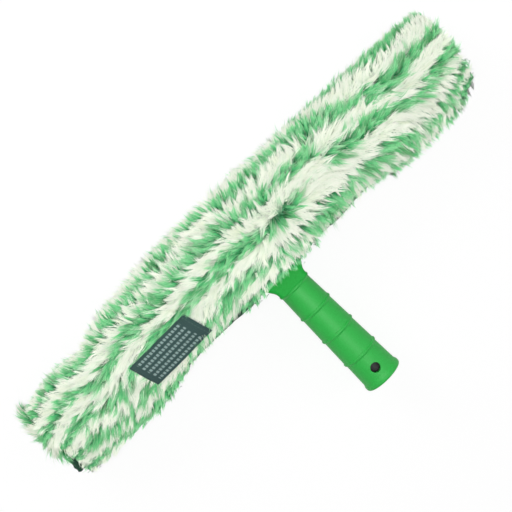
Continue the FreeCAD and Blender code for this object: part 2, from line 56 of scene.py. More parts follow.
# The fabric: x along the bar, and q round it from the middle of the far side, minus over the top
FABRIC_HALF = 169.0
FABRIC_WIDTH = 120.0
FABRIC_THICKNESS = 0.9
FLAP_START = 25.0
TOP_Q = (-FABRIC_WIDTH / 2, -8.0)
FAR_Q = (TOP_Q[1], 7.0)
UNDER_Q = (FAR_Q[1], FABRIC_WIDTH / 2)
END_Q = 44.0

# How many pieces the pile is cut into, how far apart its clumps stand and how many strands each has
TOP_PIECES = 3
FAR_PIECES = 2
UNDER_PIECES = 4
TOP_FUR = {"spacing": 2.4, "per_clump": 18}
FAR_FUR = {"spacing": 1.9, "per_clump": 11}
UNDER_FUR = {"spacing": 2.7, "per_clump": 10}
END_FUR = {"clumps": 300, "per_clump": 14}

# Seeds of the pieces' random draws
SEEDS = {"left": 100, "right": 110, "tongue": 120, "far": 125, "under": 130,
         "end_left": 140, "end_right": 141, "label": 160, "knit": 5}

# The label: its middle, size, slant and fold, and the length of its ribbon
LABEL_X = -79.0
LABEL_Y = 110.2
LABEL_Z = 20.6
LABEL_LENGTH = 45.0
LABEL_WIDTH = 19.5
LABEL_SHEAR = 0.26
LABEL_FOLD = 1.1
LABEL_RUN = 2.0 * LABEL_LENGTH + math.pi * LABEL_FOLD

# How far the label's long edges sink into the pile, and from where across it
NEAR_SINK = 2.4
NEAR_SINK_START = -1.0
FAR_SINK = 0.7
FAR_SINK_START = 4.0


# Small helpers


def linear(red, green, blue):
    """A display colour in 0 to 255 as a linear colour."""
    def channel(value):
        share = value / 255.0
        if share <= 0.04045:
            return share / 12.92
        return ((share + 0.055) / 1.055) ** 2.4

    return (channel(red), channel(green), channel(blue), 1.0)


def grey(level):
    """A grey of a linear level; grey(1.0) leaves what it is multiplied with as it is."""
    return (level, level, level, 1.0)


def smooth(low, high, value):
    """Rises smoothly from 0 at low to 1 at high."""
    share = np.clip((value - low) / (high - low), 0.0, 1.0)
    return share * share * (3.0 - 2.0 * share)


def hill(value, middle, width):
    """1 at the middle, falling smoothly to 0 on both sides."""
    return np.exp(-((value - middle) / width) ** 2)


def waves(seed, scale, count=7, rates=(0.6, 1.6)):
    """A seeded smooth random field over two directions, about one unit high."""
    rng = np.random.default_rng(seed)
    turn = rng.uniform(0.0, 2.0 * math.pi, count)
    phase = rng.uniform(0.0, 2.0 * math.pi, count)
    rate = 2.0 * math.pi / scale * rng.uniform(*rates, count)

    def field(a, b):
        total = 0.0
        for t, p, r in zip(turn, phase, rate):
            total = total + np.sin(r * (a * math.cos(t) + b * math.sin(t)) + p)
        return total / math.sqrt(count / 2.0)

    return field


def uneven(rng, count, spread, low, high):
    """Random factors about one, kept between low and high."""
    return np.clip(1.0 + spread * rng.standard_normal(count), low, high)


def unit(vectors):
    """Vectors scaled to length one."""
    size = np.linalg.norm(vectors, axis=-1, keepdims=True)
    return vectors / np.maximum(size, 1e-9)


def add_object(name, data):
    """Puts a mesh, lamp or camera into the scene."""
    made = bpy.data.objects.new(name, data)
    bpy.context.scene.collection.objects.link(made)
    return made


def add_sheet(name, points, faces, thickness, offset):
    """A smooth sheet through millimetre points, thick on its inner side (offset -1) or on both (0)."""
    mesh = bpy.data.meshes.new(name)
    mesh.from_pydata([tuple(v) for v in np.asarray(points) * MM], [], faces)
    mesh.update()
    mesh.polygons.foreach_set("use_smooth", [True] * len(mesh.polygons))
    made = add_object(name, mesh)
    thick = made.modifiers.new("thickness", "SOLIDIFY")
    thick.thickness = thickness * MM
    thick.offset = offset
    return made


def grid_faces(rows, columns, turned=False):
    """Four-sided faces over a grid of points; turned ones face the other way."""
    faces = []
    for i in range(rows - 1):
        for j in range(columns - 1):
            k = i * columns + j
            ahead, beside = k + columns, k + 1
            faces.append((k, beside, ahead + 1, ahead) if turned else (k, ahead, ahead + 1, beside))
    return faces


def note_points(mesh, name, facts):
    """Keeps three numbers on every point of a mesh, for its material to read."""
    layer = mesh.attributes.new(name, "FLOAT_VECTOR", "POINT")
    layer.data.foreach_set("vector", np.asarray(facts, dtype=np.float32).reshape(-1))


# The base fabric that the pile grows from


# Half of the fabric's section over the bar and over the hub, from the lip's edge to the far side: y, z
BAR_SECTION = [
    (-31.0, 2.6), (-27.2, 4.0), (-23.4, 6.6), (-19.8, 9.4), (-16.0, 11.4), (-11.0, 12.4),
    (-4.0, 12.7), (3.5, 12.7), (10.5, 12.2), (16.0, 10.4), (19.6, 6.2), (20.2, 0.0),
]
HUB_SECTION = [
    (-29.0, 12.6), (-25.5, 13.4), (-22.0, 14.0), (-18.5, 14.2), (-15.0, 14.3), (-10.5, 14.4),
    (-4.0, 14.4), (3.5, 14.4), (10.5, 13.9), (16.6, 11.9), (20.6, 7.0), (22.0, 0.0),
]

# Points of the base along x and round q, and where the hub's section gives way to the bar's
GRID_X = 172
GRID_Q = 121
HUB_EDGE = (25.0, 36.0)

# The far side stands off the bar by its bow, which falls to the ends, swells, dips and tucks in
FAR_SIDE = (0.0, 20.0)
BOW_MIDDLE = 6.8
BOW_FALL = 6.4
BOW_SWELL = 2.6
SWELL_PLACE = {"middle": -45.0, "width": 35.0}
BOW_DIP = 5.0
DIP_PLACE = {"middle": -122.0, "width": 14.0}
BOW_TUCK = 2.5
TUCK_SPAN = (-148.0, -169.0)

# The lips reach further over the arms than beside the hub, and less at the right corner
NEAR_SIDE = (-17.0, -31.0)
LIP_MIDDLE = 4.2
LIP_REACH = 6.5
LIP_REACH_SPAN = (70.0, 100.0)
LIP_FALL = 1.0
LIP_CORNER = 6.0
LIP_CORNER_SPAN = (150.0, 169.0)


def full_section(half):
    """Both lips of a section, from the upper lip's edge round the far side to the lower one's."""
    upper = np.array(half)
    lower = upper[-2::-1] * np.array([1.0, -1.0])
    return np.vstack([upper, lower])


def spline(points, count, steps=8):
    """A smooth curve through points, cut into equal lengths."""
    padded = np.vstack([2 * points[0] - points[1], points, 2 * points[-1] - points[-2]])
    fine = []
    for i in range(len(points) - 1):
        a, b, c, d = padded[i:i + 4]
        for s in np.linspace(0.0, 1.0, steps, endpoint=False):
            fine.append(0.5 * (2 * b + (c - a) * s + (2 * a - 5 * b + 4 * c - d) * s ** 2
                               + (3 * b - a - 3 * c + d) * s ** 3))
    fine.append(points[-1])
    fine = np.array(fine)
    run = np.concatenate([[0.0], np.cumsum(np.linalg.norm(np.diff(fine, axis=0), axis=1))])
    even = np.linspace(0.0, run[-1], count)
    return np.stack([np.interp(even, run, fine[:, k]) for k in range(2)], axis=1)


def bow(x):
    """How far the loose far side stands off the bar at x."""
    swell = BOW_SWELL * hill(x, **SWELL_PLACE) - BOW_DIP * hill(x, **DIP_PLACE)
    return BOW_MIDDLE - BOW_FALL * (x / SLEEVE_HALF) ** 2 + swell - BOW_TUCK * smooth(*TUCK_SPAN, x)


def lip(x):
    """How far the lips stop short of the tapes' near edge at x."""
    reach = LIP_REACH * smooth(*LIP_REACH_SPAN, abs(x))
    return LIP_MIDDLE - reach - LIP_FALL * (x / SLEEVE_HALF) ** 2 + LIP_CORNER * smooth(*LIP_CORNER_SPAN, x)


def base_grid():
    """The fabric's points and outward normals on an even grid of x and q."""
    xs = np.linspace(-FABRIC_HALF, FABRIC_HALF, GRID_X)
    bar = full_section(BAR_SECTION)
    hub = full_section(HUB_SECTION)
    points = np.zeros((GRID_X, GRID_Q, 3))
    for i, x in enumerate(xs):
        share = smooth(*HUB_EDGE, abs(x))
        section = hub + (bar - hub) * share
        section[:, 0] += bow(x) * smooth(*FAR_SIDE, section[:, 0])
        section[:, 0] += lip(x) * smooth(*NEAR_SIDE, section[:, 0]) * share
        curve = spline(section, GRID_Q)
        points[i, :, 0] = x
        points[i, :, 1] = BAR_Y + curve[:, 0]
        points[i, :, 2] = curve[:, 1]
    along_x = np.gradient(points, axis=0)
    along_q = np.gradient(points, axis=1)
    return {"x": xs, "points": points, "normals": unit(np.cross(along_x, along_q))}


BASE = base_grid()


def on_base(x, q, key):
    """The base's points or normals at the places x and q."""
    xs, grid = BASE["x"], BASE[key]
    a = np.clip((x - xs[0]) / (xs[1] - xs[0]), 0, GRID_X - 1.001)
    b = np.clip((q / FABRIC_WIDTH + 0.5) * (GRID_Q - 1), 0, GRID_Q - 1.001)
    i, j = a.astype(int), b.astype(int)
    s, t = (a - i)[:, None], (b - j)[:, None]
    near = grid[i, j] * (1 - s) + grid[i + 1, j] * s
    far = grid[i, j + 1] * (1 - s) + grid[i + 1, j + 1] * s
    found = near * (1 - t) + far * t
    return unit(found) if key == "normals" else found


# The pile's direction, stripes and length over the sleeve


drift_far = waves(seed=11, scale=75.0)
drift_near = waves(seed=12, scale=38.0)
wobble = waves(seed=13, scale=62.0)
band = waves(seed=14, scale=48.0)
# Painted shade along the pile's partings: where this field is low, the strands are darker
parting_shade = waves(seed=15, scale=9.0)

# The pile is brushed away from a crown, less so at the right end and less across on the arms
CROWN_X = 25.0
CROWN_LENGTH = 45.0
CROWN_WIDTH = 16.0
CROWN_OFF = 1.0
CROWN_DRIFT = 0.5
HALF_TOP = 22.0
MOST_ASIDE = 1.2
FAR_SLOPE = 0.3
NEAR_SLOPE = 0.45
SIDE_CALM = 0.4
RIGHT_CALM = 0.75
RIGHT_END = (128.0, 166.0)
FAR_DRIFT = 0.2
NEAR_DRIFT = 0.22
ACROSS = 0.9
ARM_CALM = 0.45
ARM_CALM_SPAN = (60.0, 120.0)
DROOP = -0.25

# Stripes along the bar, closer together on the left arm; right of the hub a green one runs out
STRIPE_PERIOD = 12.5
STRIPE_PHASE = -8.6
STRIPE_WANDER = 0.8
WANDER_STRETCH = 0.25
LEFT_SQUEEZE = 1.0
LEFT_ARM = (0.0, -120.0)
RUN_OUT = 1.6
RUN_OUT_PLACE = {"middle": -35.0, "width": 3.6}
RUN_OUT_SPAN = (30.0, 46.0)

# The right arm's wider stripes, which slant towards the lip and are drawn wide at the far side
ASKEW_SPAN = (50.0, 74.0)
ASKEW_PERIOD = 15.5
ASKEW_SQUEEZE = 2.3
SQUEEZE_SPAN = (70.0, 100.0)
SLANT_Q = -28.0
SLANT_STEP = 3.5
SLANT_SPAN = (70.0, 96.0)
SLANT_RATE = 0.03
SLANT_X = 110.0
DRAWN_Q = -17.0
DRAWN_SHARE = 0.78

# A pale stretch on the far side, a green left lip, and how ragged the stripes' edges are
WHITE_GAIN = 0.05
BAND_GAIN = 0.16
FAR_WHITE = 0.7
FAR_WHITE_PLACE = {"middle": 2.5, "width": 5.0}
FAR_WHITE_SPAN = (70.0, 40.0)
LIP_GREEN = 1.5
LIP_GREEN_Q = (-49.0, -54.0)
LIP_GREEN_INNER = (-20.0, -40.0)
LIP_GREEN_OUTER = (-142.0, -126.0)
STRIPE_EDGE = 2.4
STRIPE_RAG = 0.22

# The pile's full length, and the shares by which it is shorter in places
PILE_LENGTH = 13.5
END_SHORTER = 0.22
END_SPAN = (120.0, 172.0)
LEFT_SHORTER = 0.16
LEFT_SPAN = (-95.0, -150.0)
CORNER_SHORTER = 0.72
CORNERS = (((-150.0, -164.0), (-26.0, -36.0)), ((146.0, 164.0), (-34.0, -44.0)))
LIP_LEAST = 0.32
LIP_LEAST_GAIN = 0.24
LIP_GAIN_SPAN = (70.0, 120.0)
LIP_PILE_SPAN = (0.0, 16.0)
FAR_SHORTER = 0.4
FAR_PILE_SPAN = (22.0, 8.0)


def comb(x, y):
    """The direction that the pile is brushed in at a place seen from above."""
    side = np.clip((y - BAR_Y - CROWN_OFF) / HALF_TOP, -MOST_ASIDE, MOST_ASIDE)
    slope = np.where(side > 0, FAR_SLOPE, NEAR_SLOPE)
    along = np.tanh((x - CROWN_X) / CROWN_LENGTH) * (1.0 - SIDE_CALM * np.abs(side)) + slope * side
    along = along * (1.0 - RIGHT_CALM * smooth(*RIGHT_END, x))
    crown = hill(x, CROWN_X, CROWN_LENGTH) * hill(y, BAR_Y, CROWN_WIDTH)
    turn = FAR_DRIFT * drift_far(x, y) + (NEAR_DRIFT + CROWN_DRIFT * crown) * drift_near(x, y)
    across = ACROSS * side * (1.0 - ARM_CALM * smooth(*ARM_CALM_SPAN, np.abs(x)))
    return np.stack([along * np.cos(turn) - across * np.sin(turn),
                     along * np.sin(turn) + across * np.cos(turn),
                     np.full_like(along, DROOP)], axis=-1)


def straight_stripes(x, q, shift):
    """The stripes along the bar as waves from -1, white, to 1, green."""
    period = STRIPE_PERIOD - LEFT_SQUEEZE * smooth(*LEFT_ARM, x)
    height = np.cos(2.0 * math.pi * (q - STRIPE_PHASE + shift) / period)
    return height - RUN_OUT * hill(q, **RUN_OUT_PLACE) * smooth(*RUN_OUT_SPAN, x)


def askew_stripes(x, q, shift):
    """The right arm's slanting stripes as waves from -1, white, to 1, green."""
    slant = SLANT_Q - SLANT_STEP * smooth(*SLANT_SPAN, x) - SLANT_RATE * np.maximum(x - SLANT_X, 0.0)
    period = ASKEW_PERIOD - ASKEW_SQUEEZE * smooth(*SQUEEZE_SPAN, x)
    drawn = np.where(q > DRAWN_Q, DRAWN_Q + DRAWN_SHARE * (q - DRAWN_Q), q)
    return np.cos(2.0 * math.pi * (drawn - slant + shift) / period)


def stripe_share(x, q, rng):
    """0 on a white stripe, 1 on a green one, ragged between; the knit runs askew towards the right end."""
    shift = STRIPE_WANDER * wobble(x, q * WANDER_STRETCH)
    straight = straight_stripes(x, q, shift)
    askew = askew_stripes(x, q, shift)
    height = straight + (askew - straight) * smooth(*ASKEW_SPAN, x)
    far_white = hill(q, **FAR_WHITE_PLACE) * smooth(*FAR_WHITE_SPAN, x)
    lip_green = smooth(*LIP_GREEN_Q, q) * smooth(*LIP_GREEN_INNER, x) * smooth(*LIP_GREEN_OUTER, x)
    height = height - WHITE_GAIN + BAND_GAIN * band(x, q) - FAR_WHITE * far_white + LIP_GREEN * lip_green
    return np.clip(0.5 + STRIPE_EDGE * height + STRIPE_RAG * rng.standard_normal(len(x)), 0.0, 1.0)


def pile_length(x, q):
    """The pile is shorter towards the lips' edges, the far side's middle, the ends and two corners."""
    end = 1.0 - END_SHORTER * smooth(*END_SPAN, np.abs(x)) - LEFT_SHORTER * smooth(*LEFT_SPAN, x)
    corner = 0.0
    for x_span, q_span in CORNERS:
        corner = corner + smooth(*x_span, x) * smooth(*q_span, q)
    end = end * (1.0 - CORNER_SHORTER * corner)
    least = LIP_LEAST + LIP_LEAST_GAIN * smooth(*LIP_GAIN_SPAN, np.abs(x))
    from_lip = smooth(*LIP_PILE_SPAN, FABRIC_WIDTH / 2 - np.abs(q))
    far = 1.0 - FAR_SHORTER * smooth(*FAR_PILE_SPAN, np.abs(q))
    return PILE_LENGTH * (least + (1.0 - least) * from_lip) * end * far


# Strands of pile


# A strand: its steps, its section's sides, root radius and taper, and what its rings are set out from
SEGMENTS = 4
SIDES = 3
STRAND_RADIUS = 0.17
TAPER = 0.72
RING_GUIDE = (0.31, 0.22, 0.92)

# A clump's lean at its root and tip in degrees, more where brushed hard; spreads and curl in radians
LEAN_ROOT = 14.0
LEAN_TIP = 44.0
LEAN_BRUSHED = 40.0
LEAN_SPREAD = 0.2
LEAST_PULL = 0.25
TURN_SPREAD = 0.25
CURL_SPREAD = 0.32
CURL_RATE = 4.0

# Strands spread over their clump's share of the fabric, are tied together at the tip, and some stray
CLUMP_SPREAD = 0.55
CLUMP_UNEVEN = {"spread": 0.14, "low": 0.6, "high": 1.4}
STRAND_UNEVEN = {"spread": 0.13, "low": 0.6, "high": 1.3}
STRAY_SHARE = 0.06
STRAY_REACH = 1.2
LOOSE_REACH = 0.45
LOOSE_POWER = 1.6
TIE = 0.78
TIE_SPREAD = 0.15
TIE_LIMITS = (0.3, 0.97)
TIE_POWER = 0.9

# How far a strand's stripe strays from its clump's, and what its tone is made of: painted shade along the
# partings and a random spread
STRIPE_STRAY = 0.12
TONE_MIDDLE = 0.56
TONE_PARTING_SHADE = 0.3
PARTING_X = 0.6
PARTING_Q = 1.3
TONE_SPREAD = 0.2

# Light that passes round and through the fibres: the fabric's share in a strand's normals, and their lift
FIBRE_GLOW = 0.85
GLOW_LIFT = 1.3
GLOW_SIDE = 0.85

# Pile laid along the floor and under the label: the gap kept, the height it bends over, the label's margins
FLOOR_GAP = 0.35
FLOOR_BEND = 3.0
LABEL_GAP = 0.7
LABEL_BEND = 2.0
LABEL_PAST = 1.5
LABEL_WITHIN = 1.0

# Shades of stripe in the texture map, and the edges left free in its columns and rows
SHADES = 8
COLUMN_EDGE = 0.15
ROW_EDGE = 0.04
COLUMN_NUDGE = 0.012

# The ends' pile: its length on the left and right, the arc it grows on, and how it fans out
END_PILE = {-1: 10.5, 1: 4.6}
END_PILE_Q = (-36.0, 44.0)
END_PILE_OFF = 2.0
END_PILE_CORE = 0.02
END_FAN = 0.75
END_BRUSH = 0.4
END_DROOP = -0.3
END_SPREAD = 1.1


def clump_paths(rng, roots, normals, brush, lengths):
    """Each clump's middle line, leaning from the fabric's normal into the brushed direction."""
    count = len(roots)
    flat = brush - np.sum(brush * normals, axis=1, keepdims=True) * normals
    pull = np.clip(np.linalg.norm(flat, axis=1), LEAST_PULL, 1.0)
    flat = unit(flat)
    side = np.cross(normals, flat)
    turn = TURN_SPREAD * rng.standard_normal(count)
    start = np.radians(LEAN_ROOT) + LEAN_SPREAD * rng.standard_normal(count)
    stop = np.radians(LEAN_TIP + LEAN_BRUSHED * pull) + LEAN_SPREAD * rng.standard_normal(count)
    curl = CURL_SPREAD * rng.standard_normal(count)
    phase = rng.uniform(0.0, 2.0 * math.pi, count)
    path = [roots]
    for k in range(SEGMENTS):
        share = (k + 0.5) / SEGMENTS
        lean = start + (stop - start) * share
        swing = turn + curl * np.sin(phase + CURL_RATE * share)
        ahead = flat * np.cos(swing)[:, None] + side * np.sin(swing)[:, None]
        step = normals * np.cos(lean)[:, None] + ahead * np.sin(lean)[:, None]
        path.append(path[-1] + step * (lengths / SEGMENTS)[:, None])
    return np.stack(path, axis=1)


def strand_lines(rng, roots, normals, brush, lengths, per_clump, spread):
    """Single strands round each clump's line, drawn together towards its tip."""
    paths = clump_paths(rng, roots, normals, brush, lengths)
    count = len(roots) * per_clump
    owner = np.repeat(np.arange(len(roots)), per_clump)
    offset = rng.standard_normal((count, 3)) * spread
    offset -= np.sum(offset * normals[owner], axis=1, keepdims=True) * normals[owner]
    scale = uneven(rng, count, **STRAND_UNEVEN)
    stray = np.where(rng.random(count) < STRAY_SHARE, STRAY_REACH, LOOSE_REACH)
    jitter = rng.standard_normal((count, 3)) * stray[:, None]
    tie = np.clip(TIE + TIE_SPREAD * rng.standard_normal(len(roots)), *TIE_LIMITS)[owner]
    share = np.linspace(0.0, 1.0, SEGMENTS + 1)
    lines = roots[owner][:, None, :] + (paths - roots[:, None, :])[owner] * scale[:, None, None]
    lines = lines + offset[:, None, :] * (1.0 - tie[:, None] * share[None, :] ** TIE_POWER)[:, :, None]
    lines = lines + jitter[:, None, :] * (share ** LOOSE_POWER)[None, :, None]
    return owner, lines


def press_to_floor(lines):
    """Keeps strands above the floor: those that would pass it lie along it."""
    low = FLOOR_Z + FLOOR_GAP
    depth = low + FLOOR_BEND - lines[:, :, 2]
    soft = FLOOR_BEND * (1.0 - np.exp(-np.maximum(depth, 0.0) / FLOOR_BEND))
    lines[:, :, 2] = np.where(depth > 0, low + FLOOR_BEND - soft, lines[:, :, 2])
    return lines


def label_drop(across):
    """How far the label's long edges sink into the pile, the near one most."""
    near = NEAR_SINK * smooth(NEAR_SINK_START, -LABEL_WIDTH / 2, across)
    return near + FAR_SINK * smooth(FAR_SINK_START, LABEL_WIDTH / 2, across)


def press_under_label(lines):
    """Lays the pile flat where the label rests on it."""
    from_middle = lines[:, :, 1] - LABEL_Y
    along = np.abs(lines[:, :, 0] - LABEL_X + LABEL_SHEAR * from_middle)
    under = smooth(LABEL_WIDTH / 2 + LABEL_PAST, LABEL_WIDTH / 2 - LABEL_WITHIN, np.abs(from_middle))
    under = under * smooth(LABEL_LENGTH / 2 + LABEL_PAST, LABEL_LENGTH / 2 - LABEL_WITHIN, along)
    limit = LABEL_Z - LABEL_GAP - label_drop(from_middle)
    over = np.maximum(lines[:, :, 2] - limit + LABEL_BEND, 0.0)
    soft = limit - LABEL_BEND + LABEL_BEND * (1.0 - np.exp(-over / LABEL_BEND))
    pressed = np.where(over > 0, soft, lines[:, :, 2])
    lines[:, :, 2] = lines[:, :, 2] * (1.0 - under) + pressed * under
    return lines


def strand_rings(lines, width):
    """Rings of points round each strand, and the directions that they lie in from its line."""
    ahead = unit(np.gradient(lines, axis=1))
    first = unit(np.cross(ahead, np.broadcast_to(RING_GUIDE, ahead.shape)))
    second = np.cross(ahead, first)
    radius = width * (1.0 - TAPER * np.linspace(0.0, 1.0, SEGMENTS + 1) ** 2)
    spokes = []
    for k in range(SIDES):
        turn = 2.0 * math.pi * k / SIDES
        spokes.append(first[:, :SEGMENTS] * math.cos(turn) + second[:, :SEGMENTS] * math.sin(turn))
    spokes = np.stack(spokes, axis=2)
    return lines[:, :SEGMENTS, None, :] + spokes * radius[None, :SEGMENTS, None, None], spokes


def strand_corners(count):
    """Corners of all strands' faces, four-sided ones and then the tips, and each face's count of them."""
    size = SEGMENTS * SIDES + 1
    last = (SEGMENTS - 1) * SIDES
    quads, tips = [], []
    for r in range(0, last, SIDES):
        for k in range(SIDES):
            n = (k + 1) % SIDES
            quads.append([r + k, r + n, r + SIDES + n, r + SIDES + k])
    for k in range(SIDES):
        tips.append([last + k, last + (k + 1) % SIDES, size - 1])
    start = (np.arange(count) * size)[:, None]
    corners, totals = [], []
    for faces in (np.array(quads), np.array(tips)):
        corners.append((faces.reshape(1, -1) + start).reshape(-1))
        totals.append(np.full(len(faces) * count, faces.shape[1]))
    return np.concatenate(corners), np.concatenate(totals)


def shading_normals(normals, spokes):
    """Normals between the fabric's and the strand's own, because light passes round and through a fibre."""
    lift = GLOW_LIFT * np.clip(normals[:, 2] + GLOW_SIDE, 0.0, 1.0)
    normals = unit(normals + lift[:, None] * np.array([0.0, 0.0, 1.0]))
    soft = normals[:, None, None, :] * FIBRE_GLOW + spokes * (1.0 - FIBRE_GLOW)
    body = unit(soft).reshape(len(normals), SEGMENTS * SIDES, 3)
    return np.concatenate([body, normals[:, None, :]], axis=1).reshape(-1, 3)


def strand_facts(stripe, tone):
    """Each strand's stripe in a few shades, its height and its tone, for all of its points."""
    stripe = np.round(np.clip(stripe, 0.0, 1.0) * (SHADES - 1)) / (SHADES - 1)
    share = np.linspace(0.0, 1.0, SEGMENTS + 1)
    height = np.concatenate([np.repeat(share[:SEGMENTS], SIDES), [1.0]])
    facts = np.zeros((len(stripe), len(height), 3))
    facts[:, :, 0] = stripe[:, None]
    facts[:, :, 1] = height[None, :]
    facts[:, :, 2] = tone[:, None]
    return facts


def lay_map(mesh, facts, corners):
    """A texture map whose columns are stripe and tone and whose rows are height, so like strands share."""
    column = facts[..., 0] * (SHADES - 1) + COLUMN_EDGE + (1.0 - 2.0 * COLUMN_EDGE) * facts[..., 2]
    nudge = np.concatenate([np.tile([-COLUMN_NUDGE, COLUMN_NUDGE, 0.0], SEGMENTS), [0.0]])
    row = ROW_EDGE + (1.0 - 2.0 * ROW_EDGE) * facts[..., 1]
    place = np.stack([(column + nudge[None, :]) / SHADES, row], axis=-1)
    chart = mesh.uv_layers.new(name="OFBake")
    chart.data.foreach_set("uv", place.reshape(-1, 2)[corners].reshape(-1).astype(np.float32))


def strand_mesh(name, lines, normals, stripe, tone, width=STRAND_RADIUS):
    """One mesh of tapering three-sided strands with their stripe, height and tone on every point."""
    rings, spokes = strand_rings(lines, width)
    body = rings.reshape(len(lines), SEGMENTS * SIDES, 3)
    points = np.concatenate([body, lines[:, SEGMENTS:]], axis=1).reshape(-1, 3)
    corners, totals = strand_corners(len(lines))
    starts = np.concatenate([[0], np.cumsum(totals)[:-1]])
    mesh = bpy.data.meshes.new(name)
    mesh.vertices.add(len(points))
    mesh.vertices.foreach_set("co", (points.reshape(-1) * MM).astype(np.float32))
    mesh.loops.add(len(corners))
    mesh.loops.foreach_set("vertex_index", corners.astype(np.int32))
    mesh.polygons.add(len(totals))
    mesh.polygons.foreach_set("loop_start", starts.astype(np.int32))
    mesh.polygons.foreach_set("loop_total", totals.astype(np.int32))
    mesh.polygons.foreach_set("use_smooth", np.ones(len(totals), dtype=bool))
    mesh.update(calc_edges=True)
    mesh.normals_split_custom_set_from_vertices(shading_normals(normals, spokes))
    facts = strand_facts(stripe, tone)
    note_points(mesh, "pile", facts)
    lay_map(mesh, facts, corners)
    return add_object(name, mesh)


def grow(name, x_range, q_range, seed, spacing, per_clump):
    """A piece of pile on the base between two x and two q."""
    rng = np.random.default_rng(seed)
    across = max(1, int(round((x_range[1] - x_range[0]) / spacing)))
    around = max(1, int(round((q_range[1] - q_range[0]) / spacing)))
    a, b = np.meshgrid(np.arange(across), np.arange(around), indexing="ij")
    a = (a.reshape(-1) + rng.uniform(0.0, 1.0, a.size)) / across
    b = (b.reshape(-1) + rng.uniform(0.0, 1.0, b.size)) / around
    x = x_range[0] + (x_range[1] - x_range[0]) * a
    q = q_range[0] + (q_range[1] - q_range[0]) * b
    roots, normals = on_base(x, q, "points"), on_base(x, q, "normals")
    lengths = pile_length(x, q) * uneven(rng, len(x), **CLUMP_UNEVEN)
    brush = comb(x, roots[:, 1])
    owner, lines = strand_lines(rng, roots, normals, brush, lengths, per_clump, CLUMP_SPREAD * spacing)
    lines = press_under_label(press_to_floor(lines))
    stripe = stripe_share(x, q, rng)[owner] + STRIPE_STRAY * rng.standard_normal(len(owner))
    # Painted shade: the partings lower the strands' tone
    shade_at_parting = parting_shade(PARTING_X * x, PARTING_Q * q)[owner]
    tone = TONE_MIDDLE + TONE_PARTING_SHADE * shade_at_parting + TONE_SPREAD * rng.random(len(owner))
    return strand_mesh(name, lines, normals[owner], stripe, np.clip(tone, 0.0, 1.0))


def grow_end(name, side, seed, clumps, per_clump):
    """The pile on one end panel, standing out along the bar."""
    rng = np.random.default_rng(seed)
    q = rng.uniform(*END_PILE_Q, clumps)
    x = np.full(clumps, side * FABRIC_HALF)
    rim = on_base(x, q, "points")
    middle = np.array([side * FABRIC_HALF, BAR_Y + END_PILE_OFF, 0.0])
    share = np.sqrt(rng.uniform(END_PILE_CORE, 1.0, clumps))[:, None]
    roots = middle + (rim - middle) * share
    outward = unit(rim - middle)
    normals = unit(np.array([side * 1.0, 0.0, 0.0]) + outward * END_FAN * share)
    brush = outward * share + np.array([side * END_BRUSH, 0.0, END_DROOP])
    lengths = END_PILE[side] * uneven(rng, clumps, **CLUMP_UNEVEN)
    owner, lines = strand_lines(rng, roots, normals, brush, lengths, per_clump, END_SPREAD)
    lines = press_to_floor(lines)
    stripe = stripe_share(x, q, rng)[owner] + STRIPE_STRAY * rng.standard_normal(len(owner))
    return strand_mesh(name, lines, normals[owner], stripe, rng.random(len(owner)))


# The knit that holds the pile


# The knit's mesh step, and the end panels' points, rings, innermost ring, middle, bulge and stripe
KNIT_STEP = 2.4
PANEL_POINTS = 41
PANEL_RINGS = 7
PANEL_CORE = 0.06
PANEL_OFF = 1.0
PANEL_BULGE = 1.6
PANEL_STRIPE = 0.3


def backing(name, x_range, q_range):
    """A sheet of the knitted fabric that holds the pile, one thin layer on the base."""
    rows = max(2, int((x_range[1] - x_range[0]) / KNIT_STEP)) + 1
    columns = max(2, int((q_range[1] - q_range[0]) / KNIT_STEP)) + 1
    x, q = np.meshgrid(np.linspace(*x_range, rows), np.linspace(*q_range, columns), indexing="ij")
    x, q = x.reshape(-1), q.reshape(-1)
    faces = grid_faces(rows, columns)
    made = add_sheet(name, on_base(x, q, "points"), faces, FABRIC_THICKNESS, -1.0)
    facts = np.zeros((len(x), 3))
    facts[:, 0] = stripe_share(x, q, np.random.default_rng(SEEDS["knit"]))
    note_points(made.data, "pile", facts)
    return made


def end_panel(name, side):
    """The knitted panel that closes one end."""
    q = np.linspace(-END_Q, END_Q, PANEL_POINTS)
    rim = on_base(np.full(len(q), side * FABRIC_HALF), q, "points")
    middle = np.array([side * FABRIC_HALF, BAR_Y + PANEL_OFF, 0.0])
    points = []
    for share in np.linspace(PANEL_CORE, 1.0, PANEL_RINGS):
        bulge = np.array([side * PANEL_BULGE * (1.0 - share ** 2), 0.0, 0.0])
        points.extend(middle + (rim - middle) * share + bulge)
    faces = grid_faces(PANEL_RINGS, PANEL_POINTS, turned=side < 0)
    made = add_sheet(name, points, faces, FABRIC_THICKNESS, -1.0)
    facts = np.zeros((len(points), 3))
    facts[:, 0] = PANEL_STRIPE
    note_points(made.data, "pile", facts)
    return made


# Hook and loop tapes under the flaps and on the lower lip


# The tapes' ends on the left and right, their near and far edge, and the height of their middle and face
TAPE_SPAN = {-1: (25.5, 174.5), 1: (30.0, 164.0)}
TAPE_NEAR = 90.8
TAPE_FAR = 104.8
TAPE_Z = 1.15
TAPE_FACE = 0.95
TAPE_THICKNESS = 0.45
TAPE_POINTS = (101, 12)
TAPE_SWAY = 0.8
RAGGED_EDGE = 0.25
RAGGED_END = 0.5

# Hooks and loops: their pitch, margins and radius, a hook's line as y and z, and a loop's size
HOOK_PITCH = 1.5
HOOK_RADIUS = 0.11
HOOK_LINE = [(0.0, 0.0), (0.0, -0.35), (0.12, -0.62), (0.34, -0.66), (0.46, -0.46)]
LOOP_PITCH = 1.3
LOOP_RADIUS = 0.1
LOOP_SIZE = (0.5, 0.9)
LOOP_HEIGHT = 0.75
END_MARGIN = 1.0
EDGE_MARGIN = 1.2
PLACE_SPREAD = 0.2


def tape_sway(x, y):
    """How far a tape's loose near side wanders off a straight line."""
    share = (TAPE_FAR - y) / (TAPE_FAR - TAPE_NEAR)
    return share * (TAPE_SWAY + TAPE_SWAY * wobble(x, 0.0))


